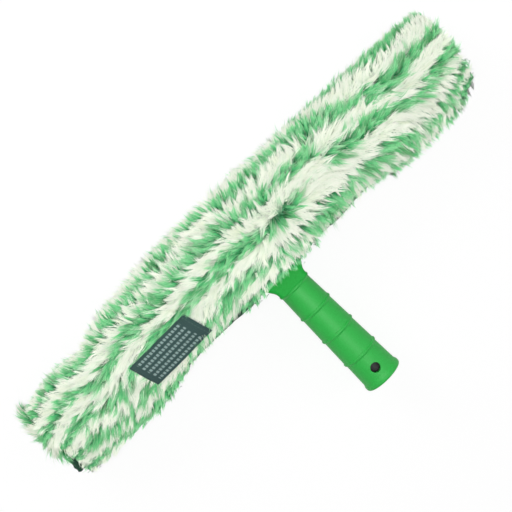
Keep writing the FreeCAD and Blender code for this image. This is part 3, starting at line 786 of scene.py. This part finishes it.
def ribbon(name, side, z, seed):
    """A woven tape with a slightly ragged edge and end."""
    rng = np.random.default_rng(seed)
    rows, columns = TAPE_POINTS
    shift_x, shift_y = np.zeros(TAPE_POINTS), np.zeros(TAPE_POINTS)
    shift_y[:, [0, -1]] = rng.uniform(-RAGGED_EDGE, RAGGED_EDGE, (rows, 2))
    shift_x[[0, -1]] = rng.uniform(-RAGGED_END, RAGGED_END, (2, columns))
    points = []
    for i, x in enumerate(np.linspace(*TAPE_SPAN[side], rows)):
        for j, y in enumerate(np.linspace(TAPE_NEAR, TAPE_FAR, columns)):
            points.append((side * (x + shift_x[i, j]), y + shift_y[i, j] + tape_sway(side * x, y), z))
    return add_sheet(name, points, grid_faces(rows, columns, turned=side < 0), TAPE_THICKNESS, 0.0)


def tape_rows(rng, side, pitch):
    """Places of the hooks or loops on a tape."""
    low, high = TAPE_SPAN[side]
    x, y = np.meshgrid(np.arange(low + END_MARGIN, high - END_MARGIN, pitch),
                       np.arange(TAPE_NEAR + EDGE_MARGIN, TAPE_FAR - EDGE_MARGIN, pitch), indexing="ij")
    x = x.reshape(-1) + rng.uniform(-PLACE_SPREAD, PLACE_SPREAD, x.size)
    y = y.reshape(-1) + rng.uniform(-PLACE_SPREAD, PLACE_SPREAD, y.size)
    return side * x, y + tape_sway(side * x, y)


def facing(up, count):
    """Normals that all point up, or down where up is -1."""
    return np.tile([0.0, 0.0, up], (count, 1))


def hooks(name, side, z, seed):
    """Small nylon hooks that hang from the flap's tape."""
    rng = np.random.default_rng(seed)
    x, y = tape_rows(rng, side, HOOK_PITCH)
    count = len(x)
    lines = np.zeros((count, SEGMENTS + 1, 3))
    for k, (ahead, drop) in enumerate(HOOK_LINE):
        lines[:, k] = np.stack([x, y + ahead, np.full(count, z + drop)], axis=1)
    return strand_mesh(name, lines, facing(-1.0, count), np.ones(count), rng.random(count), HOOK_RADIUS)


def loops_pile(name, side, z, seed):
    """The fuzzy loops of the lower lip's tape."""
    rng = np.random.default_rng(seed)
    x, y = tape_rows(rng, side, LOOP_PITCH)
    count = len(x)
    turn = rng.uniform(0.0, 2.0 * math.pi, count)
    size = rng.uniform(*LOOP_SIZE, count)
    lines = np.zeros((count, SEGMENTS + 1, 3))
    for k in range(SEGMENTS + 1):
        bend = math.pi * k / SEGMENTS
        reach = size * (1.0 - math.cos(bend))
        lines[:, k] = np.stack([x + reach * np.cos(turn), y + reach * np.sin(turn),
                                z + LOOP_HEIGHT * size * math.sin(bend)], axis=1)
    return strand_mesh(name, lines, facing(1.0, count), np.ones(count), rng.random(count), LOOP_RADIUS)


# The folded label


# The ribbon's thickness and points, its upper layer's belly and end, and its slight waviness
LABEL_THICKNESS = 0.3
LABEL_POINTS = (121, 25)
BELLY = 0.7
BELLY_TILT = 0.3
END_LIFT = 0.6
FLAT_SPAN = (0.3, 1.0)
WAVINESS = 0.25
WAVE_X = 0.21
WAVE_Y = 0.13

# Loose threads at the cut end, and the stitches at the sewn end
THREADS = 90
THREAD_RADIUS = 0.09
THREAD_REACH = (0.5, 1.8)
THREAD_DRIFT = 0.5
THREAD_BACK = 0.3
THREAD_DIP = 0.3
STITCHES = 9
STITCH_RADIUS = 0.2
STITCH_LENGTH = 1.5
STITCH_MARGIN = 1.2
STITCH_BACK = 2.4
STITCH_HEIGHT = 0.22
STITCH_LIFT = 0.1


def label_point(run, across):
    """A point on the folded ribbon: run from the sewn end under, round the fold and back on top."""
    half = LABEL_LENGTH / 2
    top = run - LABEL_LENGTH - math.pi * LABEL_FOLD
    y = LABEL_Y + across
    if run <= LABEL_LENGTH:
        x, z = LABEL_X + half - run, LABEL_Z
    elif top <= 0:
        turn = (run - LABEL_LENGTH) / LABEL_FOLD
        x = LABEL_X - half - LABEL_FOLD * math.sin(turn)
        z = LABEL_Z + LABEL_FOLD * (1.0 - math.cos(turn))
    else:
        x = LABEL_X - half + top
        share = top / LABEL_LENGTH
        belly = BELLY * math.sin(math.pi * share) * (1.0 - BELLY_TILT * across / LABEL_WIDTH)
        z = LABEL_Z + 2.0 * LABEL_FOLD - (2.0 * LABEL_FOLD - END_LIFT) * smooth(*FLAT_SPAN, share) + belly
    wave = WAVINESS * math.sin(WAVE_X * x + WAVE_Y * y)
    return (x - LABEL_SHEAR * across, y, z - label_drop(across) + wave)


def make_label(name):
    """The woven ribbon, folded over at its free end."""
    rows, columns = LABEL_POINTS
    runs = np.linspace(0.0, LABEL_RUN, rows)
    across = np.linspace(-LABEL_WIDTH / 2, LABEL_WIDTH / 2, columns)
    points = [label_point(r, a) for r in runs for a in across]
    made = add_sheet(name, points, grid_faces(rows, columns, turned=True), LABEL_THICKNESS, 0.0)
    note_points(made.data, "weave", [(LABEL_RUN - r, a, 0.0) for r in runs for a in across])
    return made


def label_threads(name, seed):
    """Loose warp threads along the label's cut end."""
    rng = np.random.default_rng(seed)
    across = rng.uniform(-LABEL_WIDTH / 2, LABEL_WIDTH / 2, THREADS)
    lines = np.zeros((THREADS, SEGMENTS + 1, 3))
    for i, a in enumerate(across):
        start = np.array(label_point(LABEL_RUN, a))
        reach = rng.uniform(*THREAD_REACH)
        drift = rng.uniform(-THREAD_DRIFT, THREAD_DRIFT)
        for k in range(SEGMENTS + 1):
            share = k / SEGMENTS
            dip = -THREAD_DIP * share ** 2
            lines[i, k] = start + (reach * share - THREAD_BACK, drift * share ** 2, dip)
    tone = rng.random(THREADS)
    return strand_mesh(name, lines, facing(1.0, THREADS), np.ones(THREADS), tone, THREAD_RADIUS)


def label_seam(name):
    """The row of stitches that holds the label's sewn end."""
    edge = LABEL_WIDTH / 2 - STITCH_MARGIN
    lines = np.zeros((STITCHES, SEGMENTS + 1, 3))
    for i, a in enumerate(np.linspace(-edge, edge, STITCHES)):
        for k in range(SEGMENTS + 1):
            share = k / SEGMENTS
            spot = np.array(label_point(LABEL_RUN - STITCH_BACK, a + STITCH_LENGTH * (share - 0.5)))
            lines[i, k] = spot + (0.0, 0.0, STITCH_LIFT + STITCH_HEIGHT * math.sin(math.pi * share))
    tone = np.full(STITCHES, 0.5)
    return strand_mesh(name, lines, facing(1.0, STITCHES), np.ones(STITCHES), tone, STITCH_RADIUS)


# Materials


# The label's dashes: the first row's edge, the rows' and dashes' pitch, their shares of it, and their run
DASH_EDGE = 9.0
DASH_ROW = 3.6
DASH_HALF_HEIGHT = 0.24
DASH_STEP = 2.3
DASH_SHARE = 0.66
DASH_SET_OFF = 0.45
DASH_RUN = (6.5, 42.0)

# How far a moulded surface's roughness goes down and up with its grain
GRAIN_SMOOTHER = 0.06
GRAIN_ROUGHER = 0.08


def new_material(name, roughness):
    """A material, its node tree and its shader."""
    material = bpy.data.materials.new(name)
    material.use_nodes = True
    tree = material.node_tree
    shader = tree.nodes["Principled BSDF"]
    shader.inputs["Roughness"].default_value = roughness
    return material, tree, shader


def feed(tree, sockets, values):
    """Links sockets to other sockets, or sets them to constants."""
    for socket, value in zip(sockets, values):
        if isinstance(value, bpy.types.NodeSocket):
            tree.links.new(value, socket)
        else:
            socket.default_value = value


def maths(tree, operation, first, second=0.0):
    """One sum of two sockets or numbers."""
    node = tree.nodes.new("ShaderNodeMath")
    node.operation = operation
    feed(tree, node.inputs, (first, second))
    return node.outputs[0]


def mix(tree, share, first, second, blend="MIX"):
    """Two colours mixed; each of the three is a socket or a constant."""
    node = tree.nodes.new("ShaderNodeMix")
    node.data_type = "RGBA"
    node.blend_type = blend
    feed(tree, (node.inputs["Factor"], node.inputs[6], node.inputs[7]), (share, first, second))
    return node.outputs[2]


def ramp(tree, source, stops):
    """A colour ramp on a value."""
    node = tree.nodes.new("ShaderNodeValToRGB")
    elements = node.color_ramp.elements
    while len(elements) < len(stops):
        elements.new(0.5)
    for element, (place, colour) in zip(elements, stops):
        element.position = place
        element.color = colour
    tree.links.new(source, node.inputs["Fac"])
    return node.outputs["Color"]


def point_facts(tree, name):
    """The three numbers that a mesh keeps on its points under a name."""
    facts = tree.nodes.new("ShaderNodeAttribute")
    facts.attribute_name = name
    parts = tree.nodes.new("ShaderNodeSeparateXYZ")
    tree.links.new(facts.outputs["Vector"], parts.inputs["Vector"])
    return [parts.outputs[axis] for axis in "XYZ"]


def vary_roughness(tree, shader, source, at_zero, at_one):
    """Roughness that follows a value from 0 to 1."""
    rough = tree.nodes.new("ShaderNodeMapRange")
    rough.inputs["To Min"].default_value = at_zero
    rough.inputs["To Max"].default_value = at_one
    tree.links.new(source, rough.inputs["Value"])
    tree.links.new(rough.outputs["Result"], shader.inputs["Roughness"])


def start_group(name):
    """A node group that takes a scale and a depth and gives a mask and a normal."""
    group = bpy.data.node_groups.new(name, "ShaderNodeTree")
    for label in ("Scale", "Depth"):
        group.interface.new_socket(label, in_out="INPUT", socket_type="NodeSocketFloat")
    group.interface.new_socket("Mask", in_out="OUTPUT", socket_type="NodeSocketFloat")
    group.interface.new_socket("Normal", in_out="OUTPUT", socket_type="NodeSocketVector")
    return group, group.nodes.new("NodeGroupInput"), group.nodes.new("ShaderNodeTexCoord")


def end_group(group, given, mask, relief):
    """Gives a group's mask out, and its relief in metres as a normal."""
    bump = group.nodes.new("ShaderNodeBump")
    bump.inputs["Distance"].default_value = relief
    group.links.new(mask, bump.inputs["Height"])
    group.links.new(given.outputs["Depth"], bump.inputs["Strength"])
    result = group.nodes.new("NodeGroupOutput")
    group.links.new(mask, result.inputs["Mask"])
    group.links.new(bump.outputs["Normal"], result.inputs["Normal"])
    return group


def grain_group():
    """A node group: fine moulded grain as a mask and a normal."""
    group, given, place = start_group("fine_grain")
    noise = group.nodes.new("ShaderNodeTexNoise")
    noise.inputs["Detail"].default_value = 3.0
    group.links.new(place.outputs["Object"], noise.inputs["Vector"])
    group.links.new(given.outputs["Scale"], noise.inputs["Scale"])
    return end_group(group, given, noise.outputs["Fac"], relief=0.0003)


def weave_group():
    """A node group: crossed threads as a mask and a normal."""
    group, given, place = start_group("crossed_threads")
    threads = []
    for direction in ("X", "Y"):
        wave = group.nodes.new("ShaderNodeTexWave")
        wave.bands_direction = direction
        wave.inputs["Distortion"].default_value = 0.6
        wave.inputs["Detail"].default_value = 1.0
        group.links.new(place.outputs["Object"], wave.inputs["Vector"])
        group.links.new(given.outputs["Scale"], wave.inputs["Scale"])
        threads.append(wave.outputs["Fac"])
    return end_group(group, given, maths(group, "MULTIPLY", *threads), relief=0.0004)


GRAIN = grain_group()
WEAVE = weave_group()


def surface(tree, shader, group, scale, depth):
    """Places a group in a material, joins its normal and returns its mask."""
    node = tree.nodes.new("ShaderNodeGroup")
    node.node_tree = group
    node.inputs["Scale"].default_value = scale
    node.inputs["Depth"].default_value = depth
    tree.links.new(node.outputs["Normal"], shader.inputs["Normal"])
    return node.outputs["Mask"]


def weave(tree, shader, scale, depth):
    """Adds the crossed threads to a material and returns their mask."""
    mask = surface(tree, shader, WEAVE, scale, depth)
    vary_roughness(tree, shader, mask, at_zero=0.92, at_one=0.7)
    return mask


def pile_material():
    """Green and white fibres, with painted shade at the root, painted light at the tip and painted shade
    along the partings.
    """
    material, tree, shader = new_material("plush_pile", roughness=0.6)
    stripe, height, tone = point_facts(tree, "pile")
    # The ramps along a strand's height: painted shade deep in the pile at the root, painted light at the
    # tip
    white = ramp(tree, height, [(0.0, linear(222, 244, 212)), (0.35, linear(248, 255, 236)),
                                (1.0, linear(252, 255, 242))])
    green = ramp(tree, height, [(0.0, linear(4, 56, 28)), (0.3, linear(24, 122, 66)),
                                (0.65, linear(88, 204, 124)), (1.0, linear(172, 242, 180))])
    # Painted shade: a low tone, mostly along the partings, darkens the green strands; the tone also varies
    # at random
    green_tone_and_shade = ramp(tree, tone, [(0.0, (0.3, 0.5, 0.36, 1.0)), (0.55, grey(1.0))])
    green = mix(tree, 1.0, green, green_tone_and_shade, "MULTIPLY")
    # The same painted shade, weaker, darkens the white strands at a low tone
    pale = ramp(tree, tone, [(0.0, (0.93, 0.96, 0.89, 1.0)), (0.5, grey(1.0))])
    white = mix(tree, 1.0, white, pale, "MULTIPLY")
    tree.links.new(mix(tree, stripe, white, green), shader.inputs["Base Color"])
    vary_roughness(tree, shader, height, at_zero=0.75, at_one=0.5)
    shader.inputs["Specular IOR Level"].default_value = 0.3
    return material


def backing_material():
    """The knit under the pile, white and green like the pile that it holds."""
    material, tree, shader = new_material("plush_knit", roughness=0.85)
    stripe = point_facts(tree, "pile")[0]
    colour = mix(tree, stripe, linear(238, 242, 230), linear(96, 186, 128))
    mask = weave(tree, shader, scale=420.0, depth=0.6)
    shade = ramp(tree, mask, [(0.0, (0.72, 0.74, 0.72, 1.0)), (0.8, grey(1.0))])
    tree.links.new(mix(tree, 1.0, colour, shade, "MULTIPLY"), shader.inputs["Base Color"])
    return material


def cloth_material(name, dark, light, scale, depth):
    """Woven cloth of one yarn."""
    material, tree, shader = new_material(name, roughness=0.8)
    mask = weave(tree, shader, scale, depth)
    tree.links.new(ramp(tree, mask, [(0.1, dark), (0.8, light)]), shader.inputs["Base Color"])
    return material


def yarn_material(name, dark, light):
    """Loose threads, hooks and loops: painted shade towards the root, each a little different."""
    material, tree, shader = new_material(name, roughness=0.6)
    height, tone = point_facts(tree, "pile")[1:]
    colour = ramp(tree, tone, [(0.0, dark), (1.0, light)])
    shade = ramp(tree, height, [(0.0, grey(0.6)), (0.6, grey(1.0))])
    tree.links.new(mix(tree, 1.0, colour, shade, "MULTIPLY"), shader.inputs["Base Color"])
    vary_roughness(tree, shader, height, at_zero=0.7, at_one=0.5)
    return material


def dash_mask(tree, run, across):
    """1 on the label's plain woven dashes, in rows that are set off from each other."""
    row = maths(tree, "DIVIDE", maths(tree, "ADD", across, DASH_EDGE), DASH_ROW)
    off_middle = maths(tree, "ABSOLUTE", maths(tree, "SUBTRACT", maths(tree, "FRACT", row), 0.5))
    set_off = maths(tree, "MULTIPLY", maths(tree, "FLOOR", row), DASH_SET_OFF)
    step = maths(tree, "ADD", maths(tree, "DIVIDE", run, DASH_STEP), set_off)
    mask = maths(tree, "LESS_THAN", off_middle, DASH_HALF_HEIGHT)
    for other in (
        maths(tree, "LESS_THAN", maths(tree, "FRACT", step), DASH_SHARE),
        maths(tree, "GREATER_THAN", run, DASH_RUN[0]),
        maths(tree, "LESS_THAN", run, DASH_RUN[1]),
        maths(tree, "LESS_THAN", maths(tree, "ABSOLUTE", across), DASH_EDGE),
    ):
        mask = maths(tree, "MULTIPLY", mask, other)
    return mask


def label_material():
    """Slate woven ribbon with rows of plain pale dashes."""
    material, tree, shader = new_material("label_woven", roughness=0.8)
    mask = weave(tree, shader, scale=900.0, depth=0.5)
    ground = ramp(tree, mask, [(0.1, linear(38, 64, 62)), (0.8, linear(62, 92, 88))])
    thread = ramp(tree, mask, [(0.0, linear(112, 140, 136)), (0.9, linear(180, 198, 194))])
    run, across = point_facts(tree, "weave")[:2]
    dash = dash_mask(tree, run, across)
    tree.links.new(mix(tree, dash, ground, thread), shader.inputs["Base Color"])
    return material


def moulded_material(name, dark, light, roughness, scale, depth, specular=0.5, metallic=0.0):
    """Moulded plastic, or metal, with a fine grain."""
    material, tree, shader = new_material(name, roughness)
    mask = surface(tree, shader, GRAIN, scale, depth)
    tree.links.new(ramp(tree, mask, [(0.3, dark), (0.7, light)]), shader.inputs["Base Color"])
    vary_roughness(tree, shader, mask, roughness - GRAIN_SMOOTHER, roughness + GRAIN_ROUGHER)
    shader.inputs["Specular IOR Level"].default_value = specular
    shader.inputs["Metallic"].default_value = metallic
    return material


def dress(nodes, material):
    """Gives shown CAD nodes a material in every slot."""
    for name in nodes:
        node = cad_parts[name]
        if not node.data.materials:
            node.data.materials.append(material)
        for i in range(len(node.data.materials)):
            node.data.materials[i] = material


def dress_stiff_nodes():
    """Materials for the stiff nodes that stay shown."""
    dress(["grip"], moulded_material(
        "grip_green", linear(22, 154, 52), linear(32, 168, 64), roughness=0.55, scale=1400.0, depth=0.25))
    dress(["hub_front", "hub_back"], moulded_material(
        "hub_green", linear(20, 150, 50), linear(28, 162, 60), roughness=0.6, scale=900.0, depth=0.15,
        specular=0.2))
    # The core shows only inside the lock hole; its near-black colour is painted shade for the hole's dark
    # inside
    dress(["handle_core"], moulded_material(
        "core_hole_shade", linear(16, 20, 18), linear(26, 30, 28), roughness=0.55, scale=700.0, depth=0.2))
    dress(["crossbar", "end_plug_left", "end_plug_right"], moulded_material(
        "bar_grey", linear(60, 65, 64), linear(76, 81, 80), roughness=0.5, scale=500.0, depth=0.2))
    dress(["hub_screws", "hub_nuts", "neck_pin"], moulded_material(
        "steel", linear(150, 152, 155), linear(178, 180, 182), roughness=0.35, scale=600.0, depth=0.1,
        metallic=1.0))


# Soft pieces on their bodies


SOFT = {
    "pile": pile_material(),
    "knit": backing_material(),
    "tape": cloth_material("tape_woven", linear(14, 52, 36), linear(30, 84, 58), scale=520.0, depth=0.6),
    "yarn": yarn_material("tape_nylon", linear(12, 48, 32), linear(34, 92, 64)),
}


def finish_piece(piece, material, bodies):
    """Gives a piece its material and hangs it on its body; a piece given more than one body only has its
    transform applied.
    """
    piece.data.materials.append(material)
    if len(bodies) == 1:
        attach(piece, bodies[0])
        return
    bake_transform(piece)


def pile_row(name, count, x_range, q_range, seed, fur, bodies):
    """Pieces of pile side by side along the bar."""
    row = []
    cuts = np.linspace(*x_range, count + 1)
    for index in range(count):
        span = (cuts[index], cuts[index + 1])
        piece = grow(f"{name}_{index + 1}", span, q_range, seed + index, **fur)
        finish_piece(piece, SOFT["pile"], bodies)
        row.append(piece)
    return row


def make_flap(side, name, seed):
    """One lifting flap: knit and pile, which hang on no body, its hook tape on the flap's body, and the
    loop tape that it closes on.
    """
    body = f"{name}_flap"
    span = sorted((side * FLAP_START, side * FABRIC_HALF))
    fur = pile_row(f"pile_{name}", TOP_PIECES, span, TOP_Q, seed, TOP_FUR, ("frame", body))
    sheet = backing(f"knit_{name}", span, TOP_Q)
    finish_piece(sheet, SOFT["knit"], ("frame", body))
    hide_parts(f"flap_{name}")
    upper = ribbon(f"hook_ribbon_{name}", side, TAPE_Z, seed + 5)
    finish_piece(upper, SOFT["tape"], (body,))
    hook = hooks(f"hooks_{name}", side, TAPE_FACE, seed + 6)
    finish_piece(hook, SOFT["yarn"], (body,))
    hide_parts(f"hook_tape_{name}")
    lower = ribbon(f"loop_ribbon_{name}", side, -TAPE_Z, seed + 7)
    finish_piece(lower, SOFT["tape"], ("frame",))
    loop = loops_pile(f"loops_{name}", side, -TAPE_FACE, seed + 8)
    finish_piece(loop, SOFT["yarn"], ("frame",))
    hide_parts(f"loop_tape_{name}")


def make_tongue():
    """The part over the hub, between the flaps, which stays on the bar."""
    span = (-FLAP_START, FLAP_START)
    tongue = grow("pile_tongue", span, TOP_Q, SEEDS["tongue"], **TOP_FUR)
    finish_piece(tongue, SOFT["pile"], ("frame",))
    sheet = backing("knit_tongue", span, TOP_Q)
    finish_piece(sheet, SOFT["knit"], ("frame",))


def make_under():
    """The far side, the underside and the lower lip, which stay on the bar."""
    span = (-FABRIC_HALF, FABRIC_HALF)
    far = pile_row("pile_far", FAR_PIECES, span, FAR_Q, SEEDS["far"], FAR_FUR, ("frame",))
    under = pile_row("pile_under", UNDER_PIECES, span, UNDER_Q, SEEDS["under"], UNDER_FUR, ("frame",))
    sheet = backing("knit_under", span, (FAR_Q[0], UNDER_Q[1]))
    finish_piece(sheet, SOFT["knit"], ("frame",))
    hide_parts("sleeve_plush")


def make_end(side, name, seed):
    """The sewn end with its pile."""
    fur = grow_end(f"pile_end_{name}", side, seed, **END_FUR)
    finish_piece(fur, SOFT["pile"], ("frame",))
    panel = end_panel(f"knit_end_{name}", side)
    finish_piece(panel, SOFT["knit"], ("frame",))
    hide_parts(f"end_gusset_{name}")


def make_label_pieces():
    """The label, its loose threads and its stitches."""
    label = make_label("label_ribbon")
    finish_piece(label, label_material(), ("label_tag",))
    threads = label_threads("label_threads", SEEDS["label"])
    thread_yarn = yarn_material("label_yarn", linear(40, 66, 64), linear(78, 106, 102))
    finish_piece(threads, thread_yarn, ("label_tag",))
    seam = label_seam("label_seam")
    seam_yarn = yarn_material("seam_yarn", linear(60, 90, 86), linear(84, 114, 108))
    finish_piece(seam, seam_yarn, ("label_tag",))
    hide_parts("label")
    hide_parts("label_stitches")


dress_stiff_nodes()
for side, name in LEFT_AND_RIGHT:
    make_flap(side, name, SEEDS[name])
make_tongue()
make_under()
for side, name in LEFT_AND_RIGHT:
    make_end(side, name, SEEDS[f"end_{name}"])
make_label_pieces()


# Studio: floor, sky, lamps, camera


# The floor's size in metres, middle, gap under the pile, grey and share of plain white; the sky's light
FLOOR_SIZE = 6.0
FLOOR_Y = 120.0
FLOOR_DROP = 0.3
FLOOR_GREY = 0.93
FLOOR_GLOW = 0.8
SKY_LEVEL = 0.28

# Each lamp's place and size in metres and its power in watts
LAMPS = {
    "overhead": ((-0.0035, 0.293, 1.295), 0.2, 12.9),
    "far": ((-0.25, 1.15, 0.55), 0.6, 3.0),
    "side": ((0.9, -0.3, 0.7), 0.5, 1.0),
}

# Camera: the point it looks at, its distance in metres, its angles in degrees and the picture's scale
TARGET = (-3.5, 112.1, 8.0)
DISTANCE = 0.9
TILT = 8.0
TURN = -45.0
PICTURE_PIXELS = 512
PIXEL_SIZE = 0.61
SENSOR = 36.0
NEAR_CLIP = 0.05


def seen_rays(tree):
    """1 for rays from the camera and for those that a glossy or clear surface sends on."""
    path = tree.nodes.new("ShaderNodeLightPath")
    share = path.outputs["Is Camera Ray"]
    for name in ("Is Glossy Ray", "Is Transmission Ray"):
        share = maths(tree, "MAXIMUM", share, path.outputs[name])
    return share


def make_floor():
    """A white floor that keeps a faint shadow."""
    place = (0.0, FLOOR_Y * MM, (FLOOR_Z - FLOOR_DROP) * MM)
    bpy.ops.mesh.primitive_plane_add(size=FLOOR_SIZE, location=place)
    floor = bpy.context.active_object
    floor.name = "studio_floor"
    material, tree, shader = new_material("studio_white", roughness=0.9)
    shader.inputs["Base Color"].default_value = grey(FLOOR_GREY)
    glow = tree.nodes.new("ShaderNodeEmission")
    join = tree.nodes.new("ShaderNodeMixShader")
    share = maths(tree, "MULTIPLY", seen_rays(tree), FLOOR_GLOW)
    feed(tree, join.inputs, (share, shader.outputs[0], glow.outputs[0]))
    tree.links.new(join.outputs[0], tree.nodes["Material Output"].inputs["Surface"])
    floor.data.materials.append(material)


def make_sky():
    """An even white sky, which lights the part less brightly than it shows."""
    world = bpy.data.worlds.new("studio_sky")
    bpy.context.scene.world = world
    world.use_nodes = True
    tree = world.node_tree
    sky = tree.nodes["Background"]
    sky.inputs["Color"].default_value = grey(1.0)
    level = tree.nodes.new("ShaderNodeMapRange")
    level.inputs["To Min"].default_value = SKY_LEVEL
    tree.links.new(seen_rays(tree), level.inputs["Value"])
    tree.links.new(level.outputs["Result"], sky.inputs["Strength"])


def make_lamp(name, place, size, power):
    """A soft square lamp that looks at the sleeve."""
    data = bpy.data.lights.new(name, "AREA")
    data.size = size
    data.energy = power
    lamp = add_object(name, data)
    lamp.location = place
    aim = Vector((0.0, BAR_Y * MM, 0.0)) - Vector(place)
    lamp.rotation_euler = aim.to_track_quat("-Z", "Y").to_euler()


def make_camera():
    """Looks almost straight down, turned so that the bar runs from lower left to upper right."""
    data = bpy.data.cameras.new("camera")
    camera = add_object("camera", data)
    turn = Matrix.Rotation(math.radians(-TILT), 3, "X") @ Matrix.Rotation(math.radians(TURN), 3, "Z")
    back = turn @ Vector((0.0, 0.0, 1.0))
    camera.matrix_world = Matrix.Translation(Vector(TARGET) * MM + back * DISTANCE) @ turn.to_4x4()
    data.sensor_width = SENSOR
    data.lens = SENSOR * DISTANCE / (PICTURE_PIXELS * PIXEL_SIZE * MM)
    data.clip_start = NEAR_CLIP
    bpy.context.scene.camera = camera


make_floor()
make_sky()
for name, (place, size, power) in LAMPS.items():
    make_lamp(name, place, size, power)
make_camera()
bpy.context.scene.view_settings.view_transform = "Standard"
